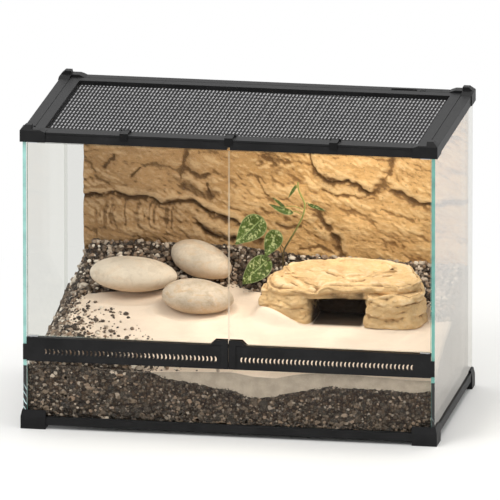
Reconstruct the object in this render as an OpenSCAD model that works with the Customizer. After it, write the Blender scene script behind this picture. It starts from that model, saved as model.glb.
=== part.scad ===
// Front-opening glass reptile terrarium with a lift-out mesh lid, two hinged
// glass doors above a slotted air bar, and its rock, sand and plant fittings.
// Millimetres. The front faces -Y, X runs to the right, Z is up, and the
// origin is the middle of the footprint on the surface that the feet stand on.

/* [Overall size] */
// Width over the corner blocks
tank_w = 610; // [590:1:760]
// Depth over the corner blocks
tank_d = 350; // [340:1:430]
// Height from the table to the top of the corner caps
tank_h = 452; // [420:1:560]

/* [Frame] */
// Width of the side and front upper rails, seen from above
rail_w = 16.5; // [15:0.5:19]
// Width of the rear upper rail, seen from above
rear_rail_w = 20; // [19:0.5:24]
// Height of the upper rails
top_rail_h = 15; // [14:0.5:20]
// How far the rails lie inside the faces of the corner blocks
rail_inset = 1.5; // [1:0.1:2]
// Length of a corner block along the front and the back
corner_len = 37; // [30:1:45]
// Length of a corner block along the sides
corner_deep = 36; // [30:1:45]
// Length of a rear foot along the sides
rear_foot_deep = 26; // [25:1:36]
// Height of the corner caps above the rails
cap_h = 9; // [8:0.5:12]
// Bevel on the outer edges of the corner caps
cap_bevel = 7; // [4:0.5:8]
// Height of the low step beside each corner cap
cap_step_h = 3.5; // [2:0.5:6]
// Length of the ramp from that step down to the rail
cap_ramp = 9; // [5:1:12]
// Underside of the front base rail above the table
base_gap = 6.3; // [4:0.1:9]
// Height of the front base rail
front_base_h = 11.1; // [10:0.1:14]
// Underside of the rail webs that carry the panes and the floor
web_z = 12; // [10:0.5:14]
// Thickness of those webs
web_t = 2.5; // [2:0.1:4]
// Width of the base rails, seen from above
base_rail_w = 24; // [20:1:30]
// Height of the side and rear base rails
side_base_h = 12.5; // [11:0.5:16]
// Height of the upright face of a foot
foot_step = 18; // [15:0.5:20]
// Height of a foot over its tapered lip
foot_top = 28; // [24:0.5:34]
// Taper of that lip
foot_taper = 2.2; // [1.5:0.1:2.3]

/* [Glass] */
// Thickness of all panes
glass_t = 5; // [4:0.5:6]
// From the faces of the corner blocks to the outer faces of the panes
glass_inset = 3.8; // [3.6:0.1:4.2]
// How far the side and rear panes reach into the upper rails
glass_bite = 5; // [3:0.5:7]
// Thickness of the floor panel
floor_t = 2.8; // [2:0.1:5]

/* [Air bar] */
// Underside of the air bar above the table
bar_z = 101.6; // [90:0.1:120]
// Height of the air bar
bar_h = 35; // [34:0.5:46]
// Number of air slots in each half
slot_count = 42; // [20:1:42]
// Distance from slot to slot
slot_pitch = 6.07; // [5.6:0.01:6.2]
// Height of a slot
slot_h = 8.8; // [6:0.1:10]
// Thickness of a slot at its middle
slot_w = 2.4; // [1.6:0.1:2.8]
// From the middle of the bar to the first slot
slot_start = 17.2; // [15:0.1:30]
// From the underside of the bar to the middle of the slots
slot_up = 14.2; // [14:0.1:17]

/* [Doors] */
// Gap between the two doors, and around each of them
door_gap = 1.6; // [1:0.1:2.5]
// From the inner face of a side pane to a door's pivot axis
pivot_in = 6.5; // [6:0.1:9]
// Radius of the pivot pins
pin_r = 2; // [1.5:0.1:2.4]
// Radial running fit of the pins in their bores
pin_fit = 0.05; // [0.03:0.01:0.08]
// Depth of the pivot bores
bore_deep = 8; // [7:0.5:9]
// Half width of the raised pulls at their foot
pull_w = 27; // [24:0.5:32]
// Half width of the raised pulls at their top
pull_top_w = 19.5; // [15:0.5:22]
// Height of the pulls above the air bar
pull_up = 8; // [7.5:0.5:12]
// Half width of the tongues that hang in front of the bar
tongue_w = 11; // [10:0.5:14]
// Thickness of those tongues
tongue_t = 1.2; // [1.1:0.1:1.2]

/* [Lid] */
// Height of the lid frame
lid_h = 7; // [6:0.5:8]
// Width of its side bars
lid_side = 15; // [12:0.5:20]
// Width of its front bar behind the front rail
lid_front = 11; // [9:0.5:16]
// Width of its rear bar
lid_rear = 18.5; // [14:0.5:24]
// Gap between the lid and the rails
lid_gap = 0.5; // [0.4:0.1:0.8]
// Thickness of the lid's front plate, which covers the front rail
plate_t = 3.2; // [2.5:0.1:3.5]
// Thickness of the mesh
mesh_t = 0.8; // [0.6:0.1:1.2]
// Number of mesh gaps across
mesh_nx = 20; // [12:1:24]
// Number of mesh gaps from front to back
mesh_ny = 10; // [6:1:12]
// Width of the mesh strands
strand_w = 2.8; // [1:0.1:4]
// Height of the frame under the mesh
retainer_h = 2.6; // [2:0.1:3.5]
// Width of a lid clip
clip_w = 11.6; // [9:0.1:14]
// Distance between the lid clips
clip_step = 153; // [120:1:170]
// Thickness of a clip's flap
clip_t = 2.7; // [2.2:0.1:3.2]
// Length of a clip's hook down the front of the rail
clip_hook = 8.5; // [6:0.5:11]

/* [Cable inlet] */
// Length of the cable slot in the rear rail
inlet_l = 34; // [24:1:40]
// Width of the cable slot
inlet_w = 7; // [5:0.5:7]
// Travel of its shutter
shutter_run = 37; // [30:1:44]

/* [Furnishing] */
// Height of the substrate at the front pane
bed_front = 92; // [80:1:100]
// Height of the substrate at the foot of the rock wall
bed_back = 197; // [150:1:230]
// Width of the rock hide
hide_w = 246; // [180:1:250]
// Depth of the rock hide
hide_d = 118; // [90:1:130]
// Height of the rock hide
hide_h = 74; // [60:1:90]
// Width of the cave mouth
mouth_w = 80; // [50:1:90]
// Height of the cave mouth
mouth_h = 47; // [30:1:52]
// Depth of the cave
cave_d = 88; // [50:1:100]
// Space between the left pane and the rock wall
wall_gap = 26; // [10:1:40]
// Height of the rock wall's upper edge below the upper rails
wall_drop = 12; // [10:1:30]

/* [Hidden] */
$fn = 48;

fit = 0.1;         // clearance around a pane in its groove
seat = 0.3;        // clearance under a piece that rests on another
over = 1;          // how far a cutting shape runs past what it cuts

// Half sizes of the blocks, the rails and the two faces of the panes
hw = tank_w / 2;
hd = tank_d / 2;
rx = hw - rail_inset;
ry = hd - rail_inset;
ox = hw - glass_inset;
oy = hd - glass_inset;
ix = ox - glass_t;
iy = oy - glass_t;

// Heights
rail_top = tank_h - cap_h;
rail_bot = rail_top - top_rail_h;
glass_bot = web_z + web_t + fit;
glass_top = rail_bot + glass_bite;
bar_top = bar_z + bar_h;
front_pane_top = bar_z + 6.9;
lid_bot = rail_top - lid_h;
ledge_top = lid_bot - 0.2;
front_rail_top = rail_top - plate_t - seat;

// Doors and pivots
pivot_x = ix - pivot_in;
pivot_y = -oy + glass_t / 2;
pad_t = 1.5;
door_bot = bar_top + 0.7 + pad_t;
door_top = rail_bot - 0.6 - pad_t + 0.1;
door_in = door_gap / 2;
door_out = ix - 1.4;
pull_front = -hd;
tongue_back = pull_front + tongue_t;
pull_back_t = 2.2;

// Lid
lid_x = hw - rail_w - lid_gap;
lid_y0 = -(hd - rail_w - lid_gap);
lid_y1 = hd - rear_rail_w - lid_gap;
open_x = lid_x - lid_side;
open_y0 = lid_y0 + lid_front;
open_y1 = lid_y1 - lid_rear;
ledge_w = 6;
lap = 6;           // how far the mesh reaches under the lid frame
clip_pin_r = 0.8;
clip_axis_z = rail_top + 1.9;
clip_axis_y = open_y0 - 4.5;
clip_lug = 2;

// Cable inlet
inlet_x1 = hw - corner_len - 12;
inlet_y = iy - fit - 1.6 - inlet_w / 2;
shutter_lap = 1.3;
shutter_t = 1.9;

// Furnishing
wall_back = iy - 0.4;
wall_x0 = -ix + wall_gap;
wall_x1 = ix - 0.5;
wall_bot = glass_bot + floor_t + seat;
wall_top = rail_bot - wall_drop;
wall_thick = 24;   // the thickest part of the rock wall
bed_end = wall_back - wall_thick - 1;
bed_bot = glass_bot + floor_t + seat;
hide_x = ix - 35 - hide_w / 2;
hide_y = -0.23 * hd + hide_d / 2;
hide_z = 135;
plant_x = 34;
plant_y = 100;
plant_z = 151;
plant_h = 12;

// Stones: middle, half sizes, turn about Z, tilt about Y, height of the cut under side
stone_a = [-ix + 112, 58, 176, 65, 42, 25, 3, 2, 153];
stone_b = [-ix + 206, 106, 190, 51, 32, 26, -24, 14, 168];
stone_c = [-ix + 216, 8, 160, 54, 39, 25, -4, 3, 138];

// ------------------------------------------------------------------ helpers

// A box from its two corners
module box(a, b) {
    translate(a) cube(b - a);
}

// An outline in X and Z, drawn out along Y from y0 to y1
module along_y(y0, y1) {
    translate([0, y1, 0]) rotate([90, 0, 0]) linear_extrude(y1 - y0) children();
}

// An outline in Y and Z, drawn out along X from x0 to x1
module along_x(x0, x1) {
    translate([x0, 0, 0]) rotate([90, 0, 90]) linear_extrude(x1 - x0) children();
}

// The left hand twin of a piece that is drawn on the right
module left_twin() {
    mirror([1, 0, 0]) children();
}

// The rear twin of a piece that is drawn at the front
module rear_twin() {
    mirror([0, 1, 0]) children();
}

module frame_black() {
    color([0.10, 0.10, 0.11]) children();
}

module clear_glass() {
    color([0.75, 0.92, 0.90, 0.35]) children();
}

// The room that the fixed panes need in the rails, the blocks and the feet
module pane_room() {
    for (s = [-1, 1])
        box([s > 0 ? ix - fit : -ox - fit, -oy - fit, glass_bot - fit],
            [s > 0 ? ox + fit : -ix + fit, iy + fit, glass_top + fit]);
    box([-ox - fit, iy - fit, glass_bot - fit], [ox + fit, oy + fit, glass_top + fit]);
}

// ------------------------------------------------------------------ base

// Outline of a foot across one leg, with half size h of the blocks there
module foot_outline(h) {
    polygon([[h - base_rail_w, 0], [h, 0], [h, foot_step], [h - foot_taper, foot_top],
        [h - glass_inset + fit, foot_top], [h - glass_inset + fit, glass_bot - fit],
        [h - base_rail_w, glass_bot - fit]]);
}

// The outer shape that a foot's two legs share at the corner
module foot_envelope(h) {
    polygon([[0, 0], [h, 0], [h, foot_step], [h - foot_taper, foot_top], [0, foot_top]]);
}

// A foot in the corner where X and Y are positive
module foot(deep) {
    frame_black() difference() {
        intersection() {
            union() {
                along_y(hd - deep, hd) foot_outline(hw);
                along_x(hw - corner_len, hw) foot_outline(hd);
            }
            along_y(0, hd) foot_envelope(hw);
            along_x(0, hw) foot_envelope(hd);
        }
        pane_room();
    }
}

module foot_front_right() {
    rear_twin() foot(corner_deep);
}

module foot_front_left() {
    left_twin() foot_front_right();
}

module foot_rear_right() {
    foot(rear_foot_deep);
}

module foot_rear_left() {
    left_twin() foot_rear_right();
}

// Outline of a base rail: a web under the pane and a lip in front of it
module base_outline(r, o, lip_z, lip_h) {
    polygon([[r - base_rail_w, web_z], [o + fit, web_z], [o + fit, min(web_z, lip_z)],
        [r, min(web_z, lip_z)], [r, lip_z + lip_h], [o + fit, lip_z + lip_h],
        [o + fit, web_z + web_t], [r - base_rail_w, web_z + web_t]]);
}

module base_rail_front() {
    frame_black() rear_twin() along_x(-hw + corner_len, hw - corner_len)
        base_outline(ry, oy, base_gap, front_base_h);
}

module base_rail_rear() {
    frame_black() along_x(-hw + corner_len, hw - corner_len)
        base_outline(ry, oy, web_z, side_base_h);
}

module base_rail_right() {
    frame_black() along_y(-hd + corner_deep, hd - rear_foot_deep)
        base_outline(rx, ox, web_z, side_base_h);
}

module base_rail_left() {
    left_twin() base_rail_right();
}

module floor_panel() {
    color([0.16, 0.16, 0.17])
        box([-ix + seat, -iy + seat, glass_bot], [ix - seat, iy - seat, glass_bot + floor_t]);
}

// ------------------------------------------------------------------ fixed glass

module pane_right() {
    clear_glass() box([ix, -oy, glass_bot], [ox, iy - fit, glass_top]);
}

module pane_left() {
    left_twin() pane_right();
}

module pane_rear() {
    clear_glass() box([-ox, iy, glass_bot], [ox, oy, glass_top]);
}

module pane_front_lower() {
    clear_glass() box([-ix + seat, -oy, glass_bot], [ix - seat, -oy + glass_t, front_pane_top]);
}

// ------------------------------------------------------------------ air bar

// Outline of the bar in Y and Z: face, top flange and a channel for the lower pane
module bar_outline() {
    face_back = -oy - fit;
    lip_front = -oy + glass_t + fit;
    polygon([[-ry, bar_z], [face_back, bar_z], [face_back, front_pane_top + fit],
        [lip_front, front_pane_top + fit], [lip_front, bar_z + 2.4], [lip_front + 2, bar_z + 2.4],
        [lip_front + 2, front_pane_top + 2.3], [face_back, front_pane_top + 2.3],
        [face_back, bar_top - 3.2], [lip_front + 3, bar_top - 3.2], [lip_front + 3, bar_top],
        [-ry, bar_top]]);
}

// One crescent air slot in straight facets, its hollow side towards +X, in X and Z
module slot_outline() {
    bow_r = 6;
    hollow_r = 8.5;
    rise = [-1, -0.5, 0, 0.5, 1] * slot_h / 2;
    polygon(concat([for (z = rise) [bow_r - sqrt(bow_r * bow_r - z * z), z]],
        [for (z = -rise) [slot_w + hollow_r - sqrt(hollow_r * hollow_r - z * z), z]]));
}

module air_bar_right() {
    tab_z = bar_z + 1.7;
    tab_h = 23.2;
    boss_h = 7.9;
    frame_black() difference() {
        union() {
            along_x(0.2, ix - seat) bar_outline();
            box([ix - seat, -ry, tab_z], [ox, -oy - fit, tab_z + tab_h]);
            box([pivot_x - 4.5, -oy - fit, bar_top - 3.2 - boss_h],
                [pivot_x + 4.5, pivot_y + 4.5, bar_top - 3.2]);
        }
        translate([pivot_x, pivot_y, bar_top - bore_deep])
            cylinder(r = pin_r + pin_fit, h = bore_deep + over);
        for (i = [0 : slot_count - 1])
            along_y(-ry - over, -oy - fit + over)
                translate([slot_start + i * slot_pitch, bar_z + slot_up]) slot_outline();
    }
}

module air_bar_left() {
    left_twin() air_bar_right();
}

// Two disc magnets bonded behind the middle of the bar
module catch_magnets() {
    color([0.70, 0.71, 0.73])
        for (s = [-1, 1])
            translate([s * 6, -oy - fit, bar_z + 20]) rotate([-90, 0, 0]) cylinder(r = 3.5, h = 2.5);
}

// ------------------------------------------------------------------ upper frame

// Outline of a corner block across one leg, with half size h and rail width w there
module cap_outline(h, len, w) {
    step_z = rail_top + cap_step_h;
    polygon([[h - len, rail_bot], [h, rail_bot], [h, tank_h], [h - w, tank_h], [h - w, step_z],
        [h - len + cap_ramp, step_z], [h - len, rail_top]]);
}

module cap_envelope(h) {
    polygon([[0, rail_bot], [h, rail_bot], [h, tank_h - cap_bevel], [h - cap_bevel, tank_h], [0, tank_h]]);
}

// A corner block where X and Y are positive, with the width wy of its leg along X
module corner_block(wy) {
    intersection() {
        union() {
            along_y(hd - wy, hd) cap_outline(hw, corner_len, rail_w);
            along_x(hw - rail_w, hw) cap_outline(hd, corner_deep, wy);
        }
        along_y(0, hd) cap_envelope(hw);
        along_x(0, hw) cap_envelope(hd);
    }
}

module corner_rear_right() {
    frame_black() difference() {
        corner_block(rear_rail_w);
        pane_room();
    }
}

module corner_rear_left() {
    left_twin() corner_rear_right();
}

module corner_front_right() {
    frame_black() difference() {
        rear_twin() corner_block(rail_w);
        pane_room();
        translate([pivot_x, pivot_y, rail_bot - over]) cylinder(r = pin_r + pin_fit, h = bore_deep + over);
    }
}

module corner_front_left() {
    left_twin() corner_front_right();
}

module top_rail_front() {
    notch = 4;
    frame_black() difference() {
        box([-hw + corner_len, -ry, rail_bot], [hw - corner_len, -hd + rail_w, front_rail_top]);
        box([-notch / 2, -ry - over, rail_bot - over], [notch / 2, -hd + rail_w + over, rail_bot + notch]);
    }
}

module top_rail_right() {
    frame_black() difference() {
        union() {
            box([hw - rail_w, -hd + corner_deep, rail_bot], [rx, hd - corner_deep, rail_top]);
            box([hw - rail_w - ledge_w, -hd + corner_deep, rail_bot],
                [hw - rail_w, hd - corner_deep, ledge_top]);
        }
        pane_room();
    }
}

module top_rail_left() {
    left_twin() top_rail_right();
}

module top_rail_rear() {
    x0 = inlet_x1 - inlet_l;
    shut_y = inlet_w / 2 + shutter_lap;
    frame_black() difference() {
        union() {
            box([-hw + corner_len, hd - rear_rail_w, rail_bot], [hw - corner_len, ry, rail_top]);
            box([-hw + corner_len, hd - rear_rail_w - ledge_w, rail_bot],
                [hw - corner_len, hd - rear_rail_w, ledge_top]);
        }
        pane_room();
        box([x0, inlet_y - inlet_w / 2, rail_bot - over], [inlet_x1, inlet_y + inlet_w / 2, rail_top + over]);
        box([x0 - shutter_lap - shutter_run - 0.5, inlet_y - shut_y, rail_top - shutter_t - 0.3],
            [inlet_x1 + shutter_lap + 0.2, inlet_y + shut_y, rail_top + over]);
    }
}

// Sliding shutter over the cable slot, with three grip ribs
module cable_shutter() {
    x0 = inlet_x1 - inlet_l - shutter_lap;
    half = inlet_w / 2 + shutter_lap - 0.1;
    z0 = rail_top - shutter_t - 0.1;
    frame_black() {
        box([x0, inlet_y - half, z0], [inlet_x1 + shutter_lap, inlet_y + half, z0 + shutter_t]);
        for (i = [0 : 2])
            box([x0 + 5 + i * 3, inlet_y - half + 1, z0 + shutter_t],
                [x0 + 6.4 + i * 3, inlet_y + half - 1, z0 + shutter_t + 0.8]);
    }
}

// ------------------------------------------------------------------ lid

// The middle of each lid clip, from left to right
function clip_x(i) = (i - 1) * clip_step;

module lid_frame() {
    frame_black() difference() {
        union() {
            box([-lid_x, lid_y0, lid_bot], [lid_x, lid_y1, rail_top]);
            box([-hw + corner_len + lid_gap, -ry, rail_top - plate_t],
                [hw - corner_len - lid_gap, lid_y0, rail_top]);
            for (i = [0 : 2], s = [-1, 1])
                translate([clip_x(i) + s * (clip_w / 2 + 0.2 + clip_lug / 2), clip_axis_y, rail_top])
                    box([-clip_lug / 2, -1.8, -0.5], [clip_lug / 2, 1.8, clip_axis_z - rail_top + 1.8]);
        }
        box([-open_x, open_y0, lid_bot - over], [open_x, open_y1, rail_top + over]);
        for (i = [0 : 2])
            translate([clip_x(i) - clip_w, clip_axis_y, clip_axis_z]) rotate([0, 90, 0])
                cylinder(r = clip_pin_r, h = 2 * clip_w);
    }
}

// The mesh: a flat net of square gaps, clamped around its edge
module lid_mesh() {
    pitch_x = 2 * open_x / mesh_nx;
    pitch_y = (open_y1 - open_y0) / mesh_ny;
    color([0.30, 0.30, 0.31]) translate([0, 0, lid_bot - mesh_t]) linear_extrude(mesh_t) difference() {
        translate([-open_x - lap, open_y0 - lap])
            square([2 * (open_x + lap), open_y1 - open_y0 + 2 * lap]);
        for (i = [0 : mesh_nx - 1], j = [0 : mesh_ny - 1])
            translate([-open_x + i * pitch_x + strand_w / 2, open_y0 + j * pitch_y + strand_w / 2])
                square([pitch_x - strand_w, pitch_y - strand_w]);
    }
}

module lid_retainer() {
    z1 = lid_bot - mesh_t;
    rim = 8;
    frame_black() difference() {
        box([-open_x - rim, open_y0 - rim, z1 - retainer_h], [open_x + rim, open_y1 + rim, z1]);
        box([-open_x, open_y0, z1 - retainer_h - over], [open_x, open_y1, z1 + over]);
    }
}

module clip_pins() {
    color([0.75, 0.76, 0.78])
        for (i = [0 : 2])
            translate([clip_x(i) - clip_w / 2 - 0.2 - clip_lug, clip_axis_y, clip_axis_z]) rotate([0, 90, 0])
                cylinder(r = clip_pin_r, h = clip_w + 0.4 + 2 * clip_lug);
}

// A hinged clip: a knuckle on its pin, a flap over the rail and a hook down its face
module lid_clip(i) {
    flap_z = rail_top + 0.3;
    frame_black() translate([clip_x(i), 0, 0]) difference() {
        union() {
            translate([-clip_w / 2, clip_axis_y, clip_axis_z]) rotate([0, 90, 0])
                cylinder(r = 1.6, h = clip_w);
            box([-clip_w / 2, -hd, flap_z], [clip_w / 2, clip_axis_y, flap_z + clip_t]);
            box([-clip_w / 2, -hd, rail_top - clip_hook], [clip_w / 2, -hd + 1.2, flap_z + clip_t]);
        }
        translate([-clip_w, clip_axis_y, clip_axis_z]) rotate([0, 90, 0])
            cylinder(r = clip_pin_r + pin_fit, h = 2 * clip_w);
    }
}

module lid_clip_left() {
    lid_clip(0);
}

module lid_clip_middle() {
    lid_clip(1);
}

module lid_clip_right() {
    lid_clip(2);
}

// ------------------------------------------------------------------ doors

module door_pane_right() {
    clear_glass() box([door_in, -oy, door_bot], [door_out, -oy + glass_t, door_top]);
}

module door_pane_left() {
    left_twin() door_pane_right();
}

// A pull that clasps the lower inner corner of its door, with a tongue over the bar
module door_pull_right() {
    foot_z = bar_top + 0.7;
    top_z = bar_top + pull_up;
    frame_black() difference() {
        union() {
            along_y(-hd, tongue_back)
                polygon([[door_in, bar_z + 2], [tongue_w, bar_z + 2], [tongue_w, foot_z], [pull_w, foot_z],
                    [pull_top_w, top_z], [door_in, top_z]]);
            along_y(tongue_back, -oy + glass_t + fit + pull_back_t)
                polygon([[door_in, foot_z], [pull_w, foot_z], [pull_top_w, top_z], [door_in, top_z]]);
        }
        box([0, -oy - fit, door_bot - fit], [hw, -oy + glass_t + fit, top_z + over]);
        box([2.4, tongue_back - 0.8, bar_z + 7.9], [9.6, tongue_back + 0.3, bar_z + 32.1]);
    }
}

module door_pull_left() {
    left_twin() door_pull_right();
}

module strike_plate_right() {
    color([0.66, 0.67, 0.69]) box([2.5, tongue_back - 0.8, bar_z + 8], [9.5, tongue_back - 0.1, bar_z + 32]);
}

module strike_plate_left() {
    left_twin() strike_plate_right();
}

// A pin with the pad that is bonded to the lower edge of a door
module pivot_lower_right() {
    color([0.72, 0.73, 0.75]) {
        box([pivot_x - 10, pivot_y - 2.2, door_bot - pad_t], [pivot_x + 4, pivot_y + 2.2, door_bot]);
        translate([pivot_x, pivot_y, bar_top - bore_deep + 0.6]) cylinder(r = pin_r, h = bore_deep + 0.1);
    }
}

module pivot_lower_left() {
    left_twin() pivot_lower_right();
}

module pivot_upper_right() {
    color([0.72, 0.73, 0.75]) {
        box([pivot_x - 10, pivot_y - 2.2, door_top], [pivot_x + 4, pivot_y + 2.2, door_top + pad_t]);
        translate([pivot_x, pivot_y, door_top + pad_t]) cylinder(r = pin_r, h = bore_deep);
    }
}

module pivot_upper_left() {
    left_twin() pivot_upper_right();
}

// ------------------------------------------------------------------ rock wall

// Thickness of the rock wall at a place on it: slow swells and a slanting ledge
function wall_relief(x, z) =
    14 + 3.2 * sin(0.8 * x + 50) + 2.6 * sin(2.1 * z + 0.9 * x) + 2.4 * sin(3.4 * z - 1.3 * x + 80);

// A closed block over a grid of points: columns u, rows v, a front and a back face.
// Seen from the front, u runs right and v runs up. The back is flat where a hub is
// given: a point of the back that sees all of its rim.
module grid_block(front, back, hub = undef) {
    nu = len(front);
    nv = len(front[0]);
    function at(s, i, j) = s * nu * nv + i * nv + j;
    flat = !is_undef(hub);
    points = concat([for (c = front) each c], [for (c = back) each c], flat ? [hub] : []);
    rim = concat([for (i = [0 : nu - 2]) at(1, i, 0)], [for (j = [0 : nv - 2]) at(1, nu - 1, j)],
        [for (i = [nu - 1 : -1 : 1]) at(1, i, nv - 1)], [for (j = [nv - 1 : -1 : 1]) at(1, 0, j)]);
    faces = concat(
        [for (i = [0 : nu - 2], j = [0 : nv - 2]) each
            [[at(0, i, j), at(0, i, j + 1), at(0, i + 1, j + 1)],
             [at(0, i, j), at(0, i + 1, j + 1), at(0, i + 1, j)]]],
        flat ? [for (k = [0 : len(rim) - 1]) [2 * nu * nv, rim[k], rim[(k + 1) % len(rim)]]]
            : [for (i = [0 : nu - 2], j = [0 : nv - 2]) each
            [[at(1, i, j), at(1, i + 1, j + 1), at(1, i, j + 1)],
             [at(1, i, j), at(1, i + 1, j), at(1, i + 1, j + 1)]]],
        [for (i = [0 : nu - 2]) each
            [[at(0, i, 0), at(0, i + 1, 0), at(1, i + 1, 0)], [at(0, i, 0), at(1, i + 1, 0), at(1, i, 0)],
             [at(0, i, nv - 1), at(1, i + 1, nv - 1), at(0, i + 1, nv - 1)],
             [at(0, i, nv - 1), at(1, i, nv - 1), at(1, i + 1, nv - 1)]]],
        [for (j = [0 : nv - 2]) each
            [[at(0, 0, j), at(1, 0, j + 1), at(0, 0, j + 1)], [at(0, 0, j), at(1, 0, j), at(1, 0, j + 1)],
             [at(0, nu - 1, j), at(0, nu - 1, j + 1), at(1, nu - 1, j + 1)],
             [at(0, nu - 1, j), at(1, nu - 1, j + 1), at(1, nu - 1, j)]]]);
    polyhedron(points, faces);
}

module rock_wall() {
    nu = 26;
    nv = 20;
    front = [for (i = [0 : nu - 1]) [for (j = [0 : nv - 1])
        let (x = wall_x0 + (wall_x1 - wall_x0) * i / (nu - 1),
             z = wall_bot + (wall_top - wall_bot) * j / (nv - 1))
            [x, wall_back - wall_relief(x, z), z]]];
    back = [for (c = front) [for (p = c) [p[0], wall_back, p[2]]]];
    color([0.78, 0.60, 0.38]) grid_block(front, back, [0, wall_back, 0.6 * wall_top]);
}

// ------------------------------------------------------------------ substrate

function smooth(t) = let (c = min(1, max(0, t))) c * c * (3 - 2 * c);

// Rise of the bank from the front pane, 0, to the foot of the rock wall, 1
function bank(v) =
    lookup(v, [[0, 0], [0.26, 0.27], [0.41, 0.38], [0.54, 0.43],
        [0.70, 0.52], [0.82, 0.60], [0.91, 0.76], [1, 1]]);

// Height of the natural bank, which falls away towards the left pane
function bank_z(x, y) =
    let (v = (y + iy) / (bed_end + iy),
         z = bed_front + (bed_back - bed_front) * bank(v),
         left = 90 + 32 * v * v)
        z - max(0, z - left) * smooth(1 - (x + ix) / 45);

// Level pads under what stands on the bank: middle, half sizes, turn, height
function stone_pad(s) = [s[0], s[1], 1.3 * s[3], 1.36 * s[4], s[6], s[8] - seat];
pads = [stone_pad(stone_a), stone_pad(stone_b), stone_pad(stone_c),
    [plant_x, plant_y, 38, 38, 0, plant_z - seat]];

function in_pad(p, x, y) =
    let (dx = x - p[0], dy = y - p[1],
         u = dx * cos(p[4]) + dy * sin(p[4]), v = dy * cos(p[4]) - dx * sin(p[4]))
        pow(u / p[2], 2) + pow(v / p[3], 2) < 1;

hide_gap = 1.5;    // level ground that shows around the hide
function in_hide(x, y) =
    abs(x - hide_x) < hide_w / 2 + hide_gap + 0.1 && abs(y - hide_y) < hide_d / 2 + hide_gap + 0.1;

function bed_z(x, y) =
    let (levels = concat([for (p = pads) if (in_pad(p, x, y)) p[5]], in_hide(x, y) ? [hide_z - seat] : []))
        len(levels) > 0 ? min(levels) : bank_z(x, y);

// Grid lines of the substrate, close together along the edges of the hide.
// Left of the rock wall the substrate runs on to the rear pane.
function steps(a, b, n) = [for (i = [0 : n - 1]) a + (b - a) * i / n];
hide_x0 = hide_x - hide_w / 2 - hide_gap;
hide_x1 = hide_x + hide_w / 2 + hide_gap;
hide_y0 = hide_y - hide_d / 2 - hide_gap;
hide_y1 = hide_y + hide_d / 2 + hide_gap;
sand_x = -0.4 * ix;
bank_run = 5;      // how far the substrate slopes up beside the hide
bed_x = concat([-ix + seat, -ix + wall_gap / 2, wall_x0 - 1.6], steps(wall_x0 - 0.8, sand_x, 9),
    steps(sand_x, hide_x0 - bank_run, 8), [hide_x0 - bank_run], steps(hide_x0, hide_x1, 15),
    [hide_x1], steps(hide_x1 + bank_run, ix - seat, 2), [ix - seat]);
bed_y = concat(steps(-iy + seat, hide_y0 - bank_run, 7), [hide_y0 - bank_run], steps(hide_y0, hide_y1, 7),
    [hide_y1], steps(hide_y1 + bank_run, bed_end, 4), [bed_end]);
bed_nx = len(bed_x);
bed_ny = len(bed_y);
function bed_xy(i, j) =
    let (stretch = i < 3 ? (iy - seat) / bed_end : 1, y = bed_y[j]) [bed_x[i], y > 0 ? y * stretch : y];

// The sand lies on part of that grid, and thins out towards its left and rear rims
sand_i = 3;
sand_j = 15;
sand_depth = [[wall_x0, 3], [sand_x, 3], [-36, 16], [30, 30], [83, 26], [148, 13], [ix, 16]];
function in_sand(i, j) = i >= sand_i && j <= sand_j;
function sand_t(i, j) = 3 + smooth(min(i - sand_i, sand_j - j) / 3) * (lookup(bed_x[i], sand_depth) - 3);

module soil_bed() {
    top = [for (i = [0 : bed_nx - 1]) [for (j = [0 : bed_ny - 1])
        let (p = bed_xy(i, j)) [p[0], p[1], bed_z(p[0], p[1]) - (in_sand(i, j) ? sand_t(i, j) : 0)]]];
    bottom = [for (c = top) [for (p = c) [p[0], p[1], bed_bot]]];
    color([0.27, 0.22, 0.18]) grid_block(top, bottom, [bed_x[1], 0, bed_bot]);
}

module sand_layer() {
    top = [for (i = [sand_i : bed_nx - 1]) [for (j = [0 : sand_j])
        let (p = bed_xy(i, j)) [p[0], p[1], bed_z(p[0], p[1])]]];
    bottom = [for (i = [sand_i : bed_nx - 1]) [for (j = [0 : sand_j])
        top[i - sand_i][j] - [0, 0, sand_t(i, j) - seat]]];
    color([0.89, 0.82, 0.72]) grid_block(top, bottom);
}

// ------------------------------------------------------------------ stones and hide

// A smooth river stone, cut flat where it stands
module stone(s) {
    n = 26;
    rings = 12;
    cut = s[8] - s[2];
    points = [for (r = [0 : rings]) let (t = -90 + 180 * r / rings) for (k = [0 : n - 1])
        let (a = 360 * k / n, q = max(0.02, cos(t)),
             x = s[3] * q * cos(a) * (1 + 0.07 * cos(a)), y = s[4] * q * sin(a), z = s[5] * sin(t),
             xt = x * cos(s[7]) + z * sin(s[7]), zt = z * cos(s[7]) - x * sin(s[7]))
            [xt * cos(s[6]) - y * sin(s[6]), xt * sin(s[6]) + y * cos(s[6]), max(cut, zt)]];
    faces = concat(
        [for (r = [0 : rings - 1], k = [0 : n - 1]) let (m = (k + 1) % n) each
            [[r * n + k, (r + 1) * n + k, (r + 1) * n + m], [r * n + k, (r + 1) * n + m, r * n + m]]],
        [[for (k = [0 : n - 1]) k]],
        [[for (k = [n - 1 : -1 : 0]) rings * n + k]]);
    color([0.88, 0.81, 0.72]) translate([s[0], s[1], s[2]]) polyhedron(points, faces);
}

module stone_left() {
    stone(stone_a);
}

module stone_rear() {
    stone(stone_b);
}

module stone_front() {
    stone(stone_c);
}

// Half width of the hide at a turn a and a height t from 0 to 1: a rounded oblong
// with broken ledges that draws in towards its flat top
function hide_r(a, t) =
    let (c = abs(cos(a)), s = abs(sin(a)), k = 3.2,
         round_box = 1 / pow(pow(c / (hide_w / 2), k) + pow(s / (hide_d / 2), k), 1 / k),
         taper = 1 - 0.03 * t - 0.16 * pow(t, 4),
         ledge = 1 - 0.035 * pow(sin(540 * t + 40), 2) - 0.02 * sin(5 * a + 300 * t))
        round_box * taper * ledge;

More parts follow.
